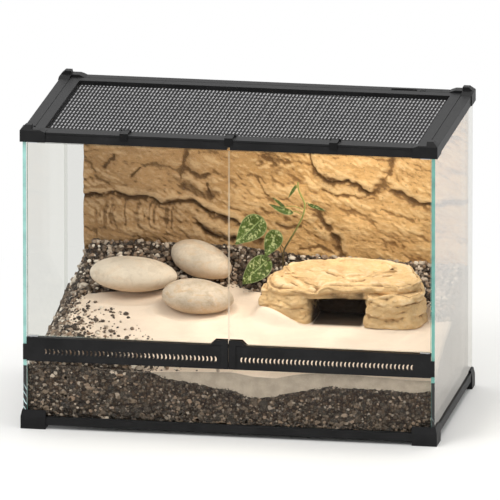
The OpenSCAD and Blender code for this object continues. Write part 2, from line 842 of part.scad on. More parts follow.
module rock_hide() {
    n = 44;
    layers = 12;
    points = [for (r = [0 : layers]) let (t = r / layers) for (k = [0 : n - 1])
        let (a = 360 * k / n, q = hide_r(a, t) * (r == layers ? 0.86 : 1),
             back = sin(a) * 0.5 + 0.5)
            [q * cos(a), q * sin(a), hide_h * t * (1 - 0.23 * (1 - back) * t)]];
    faces = concat(
        [for (r = [0 : layers - 1], k = [0 : n - 1]) let (m = (k + 1) % n) each
            [[r * n + k, (r + 1) * n + k, (r + 1) * n + m], [r * n + k, (r + 1) * n + m, r * n + m]]],
        [[for (k = [0 : n - 1]) k]],
        [for (k = [0 : n - 1]) [layers * n + (k + 1) % n, layers * n + k, (layers + 1) * n]]);
    top = [0, 4, hide_h * 0.95];
    mouth_x = -7;
    color([0.86, 0.72, 0.50]) translate([hide_x, hide_y, hide_z]) difference() {
        polyhedron(concat(points, [top]), faces);
        along_y(-hide_d / 2 - 12, -hide_d / 2 + cave_d)
            polygon([[mouth_x - mouth_w / 2, -over], [mouth_x + mouth_w / 2, -over],
                [mouth_x + mouth_w / 2 - 3, mouth_h * 0.55], [mouth_x + mouth_w / 2 - 9, mouth_h * 0.86],
                [mouth_x + 8, mouth_h * 0.93], [mouth_x - 10, mouth_h],
                [mouth_x - mouth_w / 2 + 8, mouth_h * 0.9],
                [mouth_x - mouth_w / 2 + 1, mouth_h * 0.6]]);
    }
}

// ------------------------------------------------------------------ plant

// Points of the climbing stem, chosen by eye
stem_route = [[34, 100, plant_z + plant_h + 0.1], [34, 100, 184], [34, 99, 198], [36, 98, 212], [46, 97, 230],
    [56, 97, 248], [64, 97, 266], [66, 97, 282], [61, 97, 294], [57, 97, 304], [56, 97, 314]];
stem_r = 1.2;

// Leaves: where the stalk starts, where the blade starts, its tip, its half width
leaves = [
    [[34.9, 98, 214], [2, 86, 257], [-33, 84, 221], 16],
    [[31.9, 98, 206], [26, 90, 238], [10, 88, 203], 11],
    [[31.8, 99, 198], [12, 84, 197], [-19, 44, 170], 14],
    [[61.6, 97, 266], [46, 92, 270], [14, 90, 281], 7],
    [[63.0, 97, 274], [36, 94, 277], [18, 95, 291], 4],
    [[68.1, 97, 282], [74, 96, 281], [98, 95, 273], 5],
    [[54.8, 97, 306], [53, 96, 308], [42, 95, 290], 4]
];

// A straight round rod between two points
module rod(a, b, r) {
    d = b - a;
    len = norm(d);
    translate(a) rotate([0, acos(d[2] / len), atan2(d[1], d[0])]) cylinder(r = r, h = len, $fn = 8);
}

// A heart shaped blade from its stalk to its tip, facing the front
module blade(a, b, w) {
    d = b - a;
    len = norm(d);
    thick = 0.8;
    translate(a) rotate([0, 0, atan2(d[1], d[0])]) rotate([0, acos(d[2] / len), 0]) rotate([0, 0, 90])
        rotate([90, 0, 0]) linear_extrude(thick, center = true)
            polygon([for (k = [0 : 19]) let (t = 360 * k / 20, s = (1 - cos(t)) / 2)
                [w * sin(t) * (1.25 - 0.55 * s), len * (s - 0.10 * pow(abs(sin(t)), 2) * (1 - s))]]);
}

module plant_base() {
    color([0.25, 0.22, 0.19]) translate([plant_x, plant_y, plant_z]) cylinder(r = 16, h = plant_h, $fn = 12);
}

module plant_stem() {
    n = 10;
    last = len(stem_route) - 1;
    points = [for (p = stem_route) for (k = [0 : n - 1]) p + stem_r * [cos(360 * k / n), sin(360 * k / n), 0]];
    faces = concat(
        [for (r = [0 : last - 1], k = [0 : n - 1]) let (m = (k + 1) % n) each
            [[r * n + k, (r + 1) * n + k, (r + 1) * n + m], [r * n + k, (r + 1) * n + m, r * n + m]]],
        [[for (k = [0 : n - 1]) k]], [[for (k = [n - 1 : -1 : 0]) last * n + k]]);
    color([0.35, 0.38, 0.18]) polyhedron(points, faces);
}

module plant_leaves() {
    color([0.30, 0.45, 0.22])
        for (l = leaves) {
            rod(l[0], l[1], 0.6);
            blade(l[1], l[2], l[3]);
        }
}

// ------------------------------------------------------------------ assembly

foot_front_left();
foot_front_right();
foot_rear_left();
foot_rear_right();
base_rail_front();
base_rail_rear();
base_rail_left();
base_rail_right();
floor_panel();
pane_left();
pane_right();
pane_rear();
pane_front_lower();
air_bar_left();
air_bar_right();
catch_magnets();
corner_front_left();
corner_front_right();
corner_rear_left();
corner_rear_right();
top_rail_front();
top_rail_rear();
top_rail_left();
top_rail_right();
cable_shutter();
lid_frame();
lid_mesh();
lid_retainer();
clip_pins();
lid_clip_left();
lid_clip_middle();
lid_clip_right();
door_pane_left();
door_pane_right();
door_pull_left();
door_pull_right();
strike_plate_left();
strike_plate_right();
pivot_lower_left();
pivot_lower_right();
pivot_upper_left();
pivot_upper_right();
rock_wall();
soil_bed();
sand_layer();
stone_left();
stone_rear();
stone_front();
rock_hide();
plant_base();
plant_stem();
plant_leaves();
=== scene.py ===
"""Looks of a front-opening glass reptile terrarium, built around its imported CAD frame.

Metres throughout, in the CAD frame: the doors face -Y, X runs to the right, Z is up.
Each operator finishes one piece or one group of like pieces.
"""

import math

import bpy
import numpy as np
from bpy.props import FloatProperty, FloatVectorProperty, IntProperty, PointerProperty
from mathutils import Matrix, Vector


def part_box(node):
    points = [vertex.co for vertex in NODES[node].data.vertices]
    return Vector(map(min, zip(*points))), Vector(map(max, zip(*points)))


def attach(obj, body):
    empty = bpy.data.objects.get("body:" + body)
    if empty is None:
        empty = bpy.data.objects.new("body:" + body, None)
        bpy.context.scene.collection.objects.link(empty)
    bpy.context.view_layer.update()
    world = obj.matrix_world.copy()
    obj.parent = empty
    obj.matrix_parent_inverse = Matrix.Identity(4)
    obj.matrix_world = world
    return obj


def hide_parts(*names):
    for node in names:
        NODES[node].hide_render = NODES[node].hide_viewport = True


bl_info = {
    "name": "Reptile terrarium",
    "version": (1, 0, 0),
    "blender": (4, 5, 0),
    "location": "3D View > Sidebar > Terrarium",
    "description": "Finishes a glass terrarium: frame, glass, mesh, rock wall, bed, stones, hide and plant",
    "category": "Add Mesh",
}

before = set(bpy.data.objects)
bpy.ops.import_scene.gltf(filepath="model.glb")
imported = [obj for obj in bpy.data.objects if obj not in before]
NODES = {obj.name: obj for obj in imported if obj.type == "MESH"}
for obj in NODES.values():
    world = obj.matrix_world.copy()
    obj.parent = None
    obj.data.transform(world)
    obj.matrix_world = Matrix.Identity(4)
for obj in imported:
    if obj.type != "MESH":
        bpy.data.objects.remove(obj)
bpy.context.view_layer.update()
MM = 0.001

FRAME_NODES = [n for n in NODES if n.startswith(
    ("foot_", "base_rail_", "corner_", "top_rail_", "air_bar_", "lid_frame", "lid_retainer", "lid_clip_",
     "door_pull_", "cable_shutter"))]
PANE_NODES = [n for n in NODES if n.startswith(("pane_", "door_pane_"))]
STEEL_NODES = [n for n in NODES if n.startswith(("pivot_", "strike_plate_", "clip_pins"))]


# ---------------------------------------------------------------- settings

def colour_setting(name, description, default):
    """A colour that the panel shows."""
    return FloatVectorProperty(
        name=name, description=description, subtype="COLOR", default=default, min=0, max=1)


class TankSettings(bpy.types.PropertyGroup):
    frame_colour: colour_setting("Frame colour", "Colour of the moulded frame", (0.011, 0.011, 0.0115))
    edge_colour: colour_setting("Glass edge colour", "Green of the panes' cut edges", (0.14, 0.36, 0.31))
    wire_pitch: FloatProperty(
        name="Wire pitch", description="Distance from wire to wire across the mesh", unit="LENGTH",
        default=0.0018, min=0.001, max=0.01)


class BedSettings(bpy.types.PropertyGroup):
    sand_colour: colour_setting("Sand colour", "Colour of the fine sand", (0.81, 0.680, 0.555))
    wall_left: colour_setting("Wall colour, left", "Browner rock at the left", (0.50, 0.305, 0.145))
    # the gold towards the right is painted warm light falling there
    wall_right_lit: colour_setting("Wall colour, right", "Golden rock at the right", (0.75, 0.458, 0.192))
    hide_colour: colour_setting("Hide colour", "Colour of the rock hide", (0.63, 0.430, 0.215))
    stone_colour: colour_setting("Stone colour", "Colour of the river stones", (0.56, 0.475, 0.375))
    leaf_colour: colour_setting("Leaf colour", "Green between the leaves' pale veins", (0.042, 0.066, 0.010))
    pebbles: IntProperty(
        name="Pebbles", description="Number of loose pebbles on and in the bed",
        default=7500, min=100, max=20000)


# ---------------------------------------------------------------- noise

def lattice(ix, iy, iz, seed):
    """A repeatable number from 0 to 1 at each whole-numbered point."""
    h = (ix * 374761393 + iy * 668265263 + iz * 1440662683 + seed * 974711) & 0x7FFFFFFF
    h = ((h ^ (h >> 13)) * 1274126177) & 0x7FFFFFFF
    return ((h ^ (h >> 16)) & 0xFFFFFF) / 0xFFFFFF


def noise(x, y, z=0.0, seed=0):
    """Smooth noise from -1 to 1."""
    x, y, z = np.broadcast_arrays(np.asarray(x, float), np.asarray(y, float), np.asarray(z, float))
    cell = [np.floor(v).astype(np.int64) for v in (x, y, z)]
    part = [v - c for v, c in zip((x, y, z), cell)]
    soft = [p * p * (3 - 2 * p) for p in part]
    total = np.zeros(x.shape)
    for dx in (0, 1):
        for dy in (0, 1):
            for dz in (0, 1):
                share = ((soft[0] if dx else 1 - soft[0]) * (soft[1] if dy else 1 - soft[1])
                         * (soft[2] if dz else 1 - soft[2]))
                total += share * lattice(cell[0] + dx, cell[1] + dy, cell[2] + dz, seed)
    return 2 * total - 1


def layered(x, y, z=0.0, octaves=4, seed=0):
    """Noise in several sizes, each half as large and half as strong as the one before."""
    total, whole = 0.0, 0.0
    for k in range(octaves):
        f = 2 ** k
        total = total + noise(x * f, y * f, z * f, seed + 17 * k) / f
        whole += 1 / f
    return total / whole


def chips(x, y, z=None, seed=0, lean=0.6):
    """Chipped lumps that overlap like broken stone, one to each whole-numbered cell, mostly from 0 to 1.

    lean is how much their faces slope.
    """
    rounding = 0.9
    flat = z is None
    x, y, z = np.broadcast_arrays(*(np.asarray(v, float) for v in (x, y, 0.0 if flat else z)))
    cell = [np.floor(v).astype(np.int64) for v in (x, y, z)]
    best = np.full(x.shape, -9.0)
    for dx in (-1, 0, 1):
        for dy in (-1, 0, 1):
            for dz in (0,) if flat else (-1, 0, 1):
                at = (cell[0] + dx, cell[1] + dy, cell[2] + dz)
                value = lattice(*at, seed) * 0.6
                for k, (v, c) in enumerate(zip((x, y, z), at)):
                    if flat and k == 2:
                        continue
                    d = v - c - lattice(*at, seed + 11 + k)
                    value = value + (lattice(*at, seed + 23 + k) - 0.5) * 2 * lean * d - rounding * d * d
                best = np.maximum(best, value)
    return best


def blurred(values, reach):
    """A grid of numbers, each the mean of those within reach, twice over."""
    for axis in (0, 1) * 2:
        pad = [(0, 0), (0, 0)]
        pad[axis] = (reach + 1, reach)
        total = np.cumsum(np.pad(values, pad, mode="edge"), axis=axis)
        n = values.shape[axis]
        high = np.take(total, np.arange(2 * reach + 1, 2 * reach + 1 + n), axis=axis)
        low = np.take(total, np.arange(n), axis=axis)
        values = (high - low) / (2 * reach + 1)
    return values


def ease(low, high, x):
    """0 below low, 1 above high, smooth between."""
    t = np.clip((x - low) / (high - low), 0, 1)
    return t * t * (3 - 2 * t)


def window(low, full, fading, high, x):
    """0 below low, 1 from full to fading, 0 above high, smooth between."""
    return ease(low, full, x) * (1 - ease(fading, high, x))


def rotated(a, b, angle):
    """Two coordinates turned by an angle in radians, from the first axis towards the second."""
    c, s = np.cos(angle), np.sin(angle)
    return a * c - b * s, a * s + b * c


def distance_to(route, x, y):
    """How far each point lies from a line of straight pieces."""
    near = np.full(x.shape, 1e9)
    for (ax, ay), (bx, by) in zip(route[:-1], route[1:]):
        dx, dy = bx - ax, by - ay
        t = np.clip(((x - ax) * dx + (y - ay) * dy) / (dx * dx + dy * dy), 0, 1)
        near = np.minimum(near, np.hypot(x - ax - t * dx, y - ay - t * dy))
    return near


def toned(colour, level):
    """A colour made darker or lighter, with no channel above 1."""
    return tuple(min(1, c * level) for c in colour)


# ---------------------------------------------------------------- meshes

def smooth_line(points, steps, closed=False):
    """Points along a smooth curve through the given ones, in steps from one to the next."""
    points = np.array(points, float)
    n = len(points)
    line = []
    for k in range(n if closed else n - 1):
        around = [(k + d) % n if closed else min(max(k + d, 0), n - 1) for d in (-1, 0, 1, 2)]
        p0, p1, p2, p3 = points[around]
        for t in np.linspace(0, 1, steps, endpoint=False):
            line.append(0.5 * (2 * p1 + (p2 - p0) * t + (2 * p0 - 5 * p1 + 4 * p2 - p3) * t ** 2
                               + (3 * p1 - p0 - 3 * p2 + p3) * t ** 3))
    if not closed:
        line.append(points[-1])
    return np.array(line)


def grid_faces(nu, nv, start=0, flip=False, closed=False):
    """Faces of a grid of nu by nv points, its last row joined to its first if closed."""
    i, j = np.meshgrid(np.arange(nu if closed else nu - 1), np.arange(nv - 1), indexing="ij")
    a = start + i * nv + j
    b = start + (i + 1) % nu * nv + j
    quads = np.stack([a, b, b + 1, a + 1], -1).reshape(-1, 4)
    return (quads[:, ::-1] if flip else quads).tolist()


def slab(top, bottom):
    """Points and faces of a closed block between two grids of the same size, those of the top first."""
    nu, nv = top.shape[:2]
    n = nu * nv
    points = np.concatenate([top.reshape(-1, 3), bottom.reshape(-1, 3)])
    faces = grid_faces(nu, nv) + grid_faces(nu, nv, n, flip=True)
    at = np.arange(n).reshape(nu, nv)
    ring = np.concatenate([at[:-1, 0], at[-1, :-1], at[:0:-1, -1], at[0, :0:-1]]).tolist()
    faces += [[a, a + n, b + n, b] for a, b in zip(ring, ring[1:] + ring[:1])]
    return points, faces


def joined(parts):
    """One array of points and one list of faces, from several pairs of them."""
    faces, start = [], 0
    for points, some in parts:
        faces += [[i + start for i in face] for face in some]
        start += len(points)
    return np.concatenate([points for points, _ in parts]), faces


def add_piece(name, points, faces, finish, body="tank", stands_for=(), tones=None):
    """Adds one mesh piece, in metres, that rides on a body. tones are numbers for each point, by name."""
    mesh = bpy.data.meshes.new(name)
    mesh.from_pydata(np.asarray(points, float).tolist(), [], faces)
    mesh.validate()
    mesh.polygons.foreach_set("use_smooth", [True] * len(mesh.polygons))
    for key, values in (tones or {}).items():
        mesh.attributes.new(key, "FLOAT", "POINT").data.foreach_set("value", np.asarray(values, float).ravel())
    mesh.update()
    mesh.materials.append(finish)
    piece = bpy.data.objects.new(name, mesh)
    bpy.context.scene.collection.objects.link(piece)
    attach(piece, body)
    if stands_for:
        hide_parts(*stands_for)
    return piece


def dress(node, finish):
    """Gives a CAD node a finish."""
    mesh = NODES[node].data
    mesh.materials.clear()
    mesh.materials.append(finish)


def soften(node, width):
    """Rounds the sharp edges of a CAD node a little, as a modifier."""
    piece = NODES[node]
    weld = piece.modifiers.new("joined edges", "WELD")
    weld.merge_threshold = 1e-6
    round_off = piece.modifiers.new("worn edges", "BEVEL")
    round_off.width = width
    round_off.segments = 2
    round_off.limit_method = "ANGLE"
    round_off.angle_limit = math.radians(38)
    round_off.harden_normals = True


# ---------------------------------------------------------------- shader maths

class Val:
    """A number in a material. Arithmetic on it adds Math nodes."""

    def __init__(self, finish, socket):
        self.finish, self.socket = finish, socket

    def _with(self, operation, first, second=None):
        inputs = {0: first} if second is None else {0: first, 1: second}
        return Val(self.finish, self.finish.node("ShaderNodeMath", {"operation": operation}, inputs).outputs[0])

    def __add__(self, other):
        return self._with("ADD", self, other)

    def __radd__(self, other):
        return self._with("ADD", other, self)

    def __sub__(self, other):
        return self._with("SUBTRACT", self, other)

    def __rsub__(self, other):
        return self._with("SUBTRACT", other, self)

    def __mul__(self, other):
        return self._with("MULTIPLY", self, other)

    def __rmul__(self, other):
        return self._with("MULTIPLY", other, self)

    def __truediv__(self, other):
        return self._with("DIVIDE", self, other)

    def __pow__(self, other):
        return self._with("POWER", self, other)

    def __abs__(self):
        return self._with("ABSOLUTE", self)

    def sine(self):
        return self._with("SINE", self)

    def between(self, low, high, smooth=True):
        """0 at low and 1 at high."""
        made = self.finish.node(
            "ShaderNodeMapRange", {"interpolation_type": "SMOOTHSTEP" if smooth else "LINEAR"},
            {"Value": self, "From Min": low, "From Max": high})
        return Val(self.finish, made.outputs["Result"])


class Finish:
    """One procedural material and the nodes it is made of."""

    def __init__(self, name):
        self.material = bpy.data.materials.new(name)
        self.material.use_nodes = True
        self.tree = self.material.node_tree
        self.tree.nodes.clear()
        self.output = self.tree.nodes.new("ShaderNodeOutputMaterial")
        self.place = self.node("ShaderNodeTexCoord").outputs["Object"]

    def node(self, kind, settings=None, inputs=None):
        """Adds a node of a kind. Settings are made first, then values or links go to its inputs."""
        made = self.tree.nodes.new(kind)
        for key, value in (settings or {}).items():
            if key == "stops":
                ramp = made.color_ramp
                while len(ramp.elements) < len(value):
                    ramp.elements.new(0.5)
                for element, (position, colour) in zip(ramp.elements, value):
                    element.position = position
                    element.color = (*colour, 1)
            else:
                setattr(made, key, value)
        for key, value in (inputs or {}).items():
            if isinstance(value, Val):
                value = value.socket
            if isinstance(value, bpy.types.NodeSocket):
                self.tree.links.new(value, made.inputs[key])
            elif isinstance(value, (tuple, list)) and len(value) == 3 and made.inputs[key].type == "RGBA":
                made.inputs[key].default_value = (*value, 1)
            else:
                made.inputs[key].default_value = value
        return made

    def stretched(self, x, y, z, turn=(0, 0, 0)):
        """The piece's own coordinates, scaled along each axis."""
        inputs = {"Vector": self.place, "Scale": (x, y, z), "Rotation": turn}
        return self.node("ShaderNodeMapping", None, inputs).outputs[0]

    def grain(self, scale, detail=3.0, roughness=0.55, at=None, warp=0.0):
        """Noise with this many cells to a metre."""
        made = self.node("ShaderNodeTexNoise", None, {
            "Vector": at or self.place, "Scale": scale, "Detail": detail, "Roughness": roughness,
            "Distortion": warp})
        return Val(self, made.outputs["Fac"])

    def cells(self, scale, output="Distance"):
        """Distance to the middle of the nearest cell, or each cell's own colour."""
        made = self.node("ShaderNodeTexVoronoi", None, {"Vector": self.place, "Scale": scale})
        return made.outputs[output] if output == "Color" else Val(self, made.outputs[output])

    def tone(self, name):
        """A number that the mesh holds for each point."""
        return Val(self, self.node("ShaderNodeAttribute", {"attribute_name": name}).outputs["Fac"])

    def axis(self, letter, source=None):
        """One coordinate of a vector, or of the piece's own place."""
        made = self.node("ShaderNodeSeparateXYZ", None, {0: source or self.place})
        return Val(self, made.outputs[letter])

    def blend(self, share, a, b):
        """Colour a where share is 0 and b where it is 1."""
        made = self.node("ShaderNodeMix", {"data_type": "RGBA"})
        for key, value in (("Factor", share), (6, a), (7, b)):
            if isinstance(value, Val):
                value = value.socket
            if isinstance(value, bpy.types.NodeSocket):
                self.tree.links.new(value, made.inputs[key])
            else:
                made.inputs[key].default_value = (*value, 1) if key != "Factor" else value
        return made.outputs[2]

    def varied(self, share, colour, low, high):
        """A colour at one level where share is 0 and at another where it is 1."""
        return self.blend(share, toned(colour, low), toned(colour, high))

    def washed(self, base, *washes):
        """A colour with others over it, one after another, each a share and a colour."""
        for share, colour in washes:
            base = self.blend(share, base, colour)
        return base

    def ramp(self, value, stops):
        """Colour from stops, each a position and a colour."""
        return self.node("ShaderNodeValToRGB", {"stops": stops}, {"Fac": value}).outputs["Color"]

    def surface(self, **inputs):
        """A Principled surface. Input names are the socket's, with _ for a space."""
        inputs = {key.replace("_", " "): value for key, value in inputs.items()}
        return self.node("ShaderNodeBsdfPrincipled", None, inputs).outputs[0]

    def mixed(self, share, a, b):
        """Shader a where share is 0 and b where it is 1."""
        return self.node("ShaderNodeMixShader", None, {0: share, 1: a, 2: b}).outputs[0]

    def done(self, shader):
        """Finishes the material with its shader."""
        self.tree.links.new(shader, self.output.inputs["Surface"])
        return self.material

    def coated(self, base, roughness, height, depth, strength, **more):
        """Finishes the material with a Principled surface, bumpy by a height that is depth metres deep."""
        bumps = self.node("ShaderNodeBump", None, {"Height": height, "Distance": depth, "Strength": strength})
        return self.done(self.surface(
            Base_Color=base, Roughness=roughness, Normal=bumps.outputs["Normal"], **more))


# ---------------------------------------------------------------- finishes

def frame_finish(colour):
    """Satin black moulding with a fine texture, rubbed paler patches and dust in its grain."""
    f = Finish("frame moulding")
    fine = f.grain(2600, 2)
    broad = f.grain(22, 4, 0.6)
    rubbed = f.grain(90, 5, 0.7, warp=0.6).between(0.56, 0.74)
    base = f.washed(f.varied(broad.between(0.3, 0.7), colour, 0.8, 1.35), (rubbed * 0.35, toned(colour, 2.6)))
    return f.coated(base, 0.42 + 0.12 * broad + 0.10 * rubbed, fine + 0.4 * f.grain(700, 2), 0.00006, 0.55,
                    Specular_IOR_Level=0.14)


def glass_finish(edge_colour, name, thin_axis, glare, clearness=0.99, shine=(0.93, 0.91, 0.88), side=False,
                 edge_share=1.0):
    """Clear pane with green cut edges.

    thin_axis runs along its thickness, glare is its shine seen aslant, edge_share is how strongly the cut
    edges show. A side pane's cut edges below the air bar are painted dark, as the soil seen through them, with
    painted pale glints.
    """
    f = Finish(name)
    normal = f.node("ShaderNodeTexCoord").outputs["Normal"]
    cut_edge = 1 - abs(f.axis(thin_axis, normal)).between(0.35, 0.75)
    slant = Val(f, f.node("ShaderNodeLayerWeight", None, {"Blend": 0.5}).outputs["Facing"]) ** 4.0
    smear = f.grain(6, 4, 0.6, warp=0.4)
    clear = f.node("ShaderNodeBsdfTransparent", None, {
        "Color": (clearness, clearness, clearness * 0.99)}).outputs[0]
    veil = f.node("ShaderNodeBsdfTransparent", None, {"Color": (0.80, 0.80, 0.78)}).outputs[0]
    gloss = f.surface(Base_Color=shine, Metallic=1.0, Roughness=0.03 + 0.05 * smear.between(0.4, 0.7))
    pane = f.mixed(slant * glare + 0.002, f.mixed(slant, clear, veil), gloss)
    tint = f.varied(f.grain(40, 3).between(0.3, 0.7), edge_colour, 0.85, 1.15)
    across, up = f.axis("X"), f.axis("Z")
    flat_cut = abs(f.axis("Z", normal)).between(0.4, 0.6)
    hidden = flat_cut * 0.8
    if side:
        # painted reflection: below the air bar the cut edges show the dark soil seen through them, with pale
        # painted glints
        run = (across * 1.6 + up + f.grain(60, 2) * 0.006) * 560
        low_part = 1 - up.between(0.050, 0.072)
        painted_glints = run.sine().between(0.60, 0.95) * f.grain(24, 1).between(0.42, 0.55) * low_part
        dark = f.blend(painted_glints, (0.010, 0.013, 0.013), (0.55, 0.74, 0.74))
        tint = f.blend(1 - up.between(0.0935, 0.0945), tint, dark)
        turned_away = Val(f, f.node("ShaderNodeNewGeometry").outputs["Backfacing"])
        hidden = hidden + turned_away * 0.98 * (1 - flat_cut)
    else:
        tint = f.blend(1 - abs(across).between(0.02, 0.03), tint, (0.66, 0.62, 0.55))
    # the cut edges glow faintly, painted light: they are no lamp
    edge = f.surface(Base_Color=tint, Roughness=0.12 + 0.1 * smear, Emission_Color=tint, Emission_Strength=0.10)
    return f.done(f.mixed(cut_edge * (1 - hidden) * edge_share, pane, edge))


def steel_finish(name, colour):
    """Plated steel with fine brushing and faint stains."""
    f = Finish(name)
    brushed = f.grain(90, 3, 0.6, f.stretched(1, 1, 22))
    stain = f.grain(300, 3).between(0.55, 0.8)
    base = f.varied(stain * 0.5, colour, 1.0, 0.6)
    return f.coated(base, 0.24 + 0.22 * brushed, brushed, 0.00003, 0.4, Metallic=1.0)


def wire_finish():
    """Dark coated wire with a painted shine in short pale dashes, every third wire and between the crossings.
    """
    f = Finish("mesh wire")
    x, y = f.axis("X"), f.axis("Y")
    lane_width, dash_length = 0.0054, 0.0178
    lane = (x * (2 * math.pi / lane_width)).sine().between(0.05, 0.75)
    dash = (y * (2 * math.pi / dash_length) + x * 14.0 + f.grain(30, 2) * 1.2).sine().between(-0.75, -0.25)
    # painted shine: pale dashes where the wires would catch the light
    painted_sheen = lane * dash * (0.75 + 0.5 * f.grain(18, 2))
    base = f.blend(painted_sheen, (0.022, 0.022, 0.023), (0.43, 0.43, 0.44))
    rough = 0.5 - 0.1 * painted_sheen + 0.08 * f.grain(800)
    return f.done(f.surface(Base_Color=base, Roughness=rough, Specular_IOR_Level=0.2))


def wall_finish(left, right):
    """Painted layered rock: ochre with brown stains, painted shade in its cracks, hollows and pits and under
    its ledges, painted highlights on its crests, painted warm light towards the right, and bare foam at its
    back.
    """
    f = Finish("painted rock wall")
    depth, crack, under = f.tone("relief"), f.tone("crack"), f.tone("under")
    across = f.axis("X").between(-0.17, 0.08)
    streaks = f.grain(16, 5, 0.65, f.stretched(1, 1, 2.6, (0, 0.25, 0)), warp=0.8)
    patches = f.grain(8, 5, 0.6, warp=1.4)
    crumbs = f.grain(110, 6, 0.78, f.stretched(1, 1, 1.5, (0, 0.5, 0)), warp=0.3)
    combed = f.grain(30, 6, 0.78, f.stretched(1, 1, 4.0, (0, 0.55, 0)), warp=0.6)
    pits = f.grain(240, 3, 0.6)
    # browner at the left, golden at the right: the gold is painted warm light falling on the right
    base = f.blend(across, left, right)
    for share, left_tone, right_tone in (
            (patches.between(0.44, 0.60) * 0.60, (0.33, 0.19, 0.085), (0.60, 0.34, 0.125)),
            (streaks.between(0.50, 0.66) * 0.40, (0.27, 0.16, 0.075), (0.46, 0.26, 0.10)),
            # painted highlight on the crests
            (depth.between(0.54, 0.90) * 0.75, (0.64, 0.44, 0.25), (0.90, 0.63, 0.32)),
            (crumbs.between(0.52, 0.66) * 0.34, (0.17, 0.10, 0.045), (0.40, 0.215, 0.08)),
            ((1 - crumbs.between(0.34, 0.44)) * 0.40, (0.64, 0.47, 0.29), (0.93, 0.67, 0.365)),
            # painted shade in the hollows
            ((1 - depth.between(0.06, 0.42)) * 0.80, (0.13, 0.072, 0.032), (0.25, 0.125, 0.045)),
            (combed.between(0.54, 0.66) * 0.26, (0.20, 0.115, 0.052), (0.46, 0.25, 0.085))):
        base = f.blend(share, base, f.blend(across, left_tone, right_tone))
    foam = f.blend(pits.between(0.35, 0.65), (0.52, 0.46, 0.36), (0.60, 0.54, 0.43))
    foam = f.blend(patches.between(0.48, 0.56) * 0.25, foam, (0.44, 0.37, 0.27))
    base = f.washed(
        base,
        # painted shade in the small pits, where the bump is lowest
        ((1 - pits.between(0.27, 0.36)) * 0.55, (0.12, 0.062, 0.026)),
        # painted shadow under the ledges, in the grooves and beside the cracks
        (under * (0.55 + 0.45 * combed.between(0.40, 0.60)), (0.15, 0.085, 0.042)),
        # painted shade in the cracks
        (crack * (0.70 + 0.30 * crumbs.between(0.40, 0.60)), (0.082, 0.043, 0.020)),
        (f.tone("bare"), foam))
    height = 1.2 * crumbs + 0.9 * streaks + 1.3 * combed + 0.5 * pits
    return f.coated(base, 0.80 + 0.12 * crumbs, height, 0.0030, 0.95, Specular_IOR_Level=0.25)


def sand_finish(colour):
    """Fine pale sand with single dark grains, painted shade where it lies against the glass below the bar, and
    painted shade inside the hide's cave.
    """
    f = Finish("fine sand")
    grains = f.grain(1500, 2, 0.7)
    base = f.washed(
        f.varied(f.grain(14, 4, 0.55, warp=0.5).between(0.35, 0.65), colour, 0.93, 1.07),
        (grains.between(0.60, 0.78) * 0.30, (0.48, 0.36, 0.25)),
        ((1 - f.cells(900).between(0.10, 0.22)) * 0.35, (0.25, 0.17, 0.11)),
        # painted shade where the sand lies against the front pane, below the air bar
        (f.tone("pressed"),
         f.blend(f.grain(60, 4).between(0.35, 0.65), (0.375, 0.315, 0.25), (0.465, 0.39, 0.315))),
        (f.tone("shade"), (0.07, 0.045, 0.028)))
    return f.coated(base, 0.92 - 0.1 * grains, grains + 1.4 * f.grain(260, 3), 0.0004, 0.7)


def soil_finish():
    """Dark crumbly soil: brown crumbs, roots and grit between the pebbles, with painted shade in the gaps
    between the crumbs.
    """
    f = Finish("soil and grit")
    crumbs = f.cells(230)
    fine = f.grain(520, 4, 0.7)
    base = f.ramp(f.axis("X", f.cells(230, output="Color")), [
        (0.0, (0.020, 0.013, 0.009)), (0.35, (0.050, 0.030, 0.018)), (0.62, (0.085, 0.052, 0.032)),
        (0.80, (0.135, 0.095, 0.065)), (0.93, (0.24, 0.19, 0.145)), (1.0, (0.42, 0.36, 0.30))])
    # painted shade in the gaps between the crumbs
    base = f.washed(base, (crumbs.between(0.30, 0.75) * 0.8, (0.012, 0.008, 0.006)),
                    (fine.between(0.55, 0.75) * 0.5, (0.10, 0.062, 0.036)))
    return f.coated(base, 0.85, fine * 0.6 - crumbs * 1.6, 0.0022, 0.9)


def pebble_finish():
    """Mixed river gravel: each pebble has its own colour, from black to white, with faint speckles."""
    f = Finish("mixed pebbles")
    base = f.ramp(f.tone("tone"), [
        (0.0, (0.018, 0.014, 0.012)), (0.20, (0.045, 0.033, 0.025)), (0.38, (0.085, 0.060, 0.042)),
        (0.56, (0.19, 0.140, 0.098)), (0.68, (0.30, 0.20, 0.13)), (0.80, (0.37, 0.31, 0.25)),
        (0.90, (0.60, 0.50, 0.40)), (1.0, (0.90, 0.83, 0.72))])
    speckle = f.grain(900, 3, 0.7)
    base = f.blend(speckle.between(0.52, 0.70) * 0.45, base, (0.38, 0.30, 0.22))
    return f.coated(base, 0.52 + 0.25 * speckle, speckle, 0.0004, 0.6)


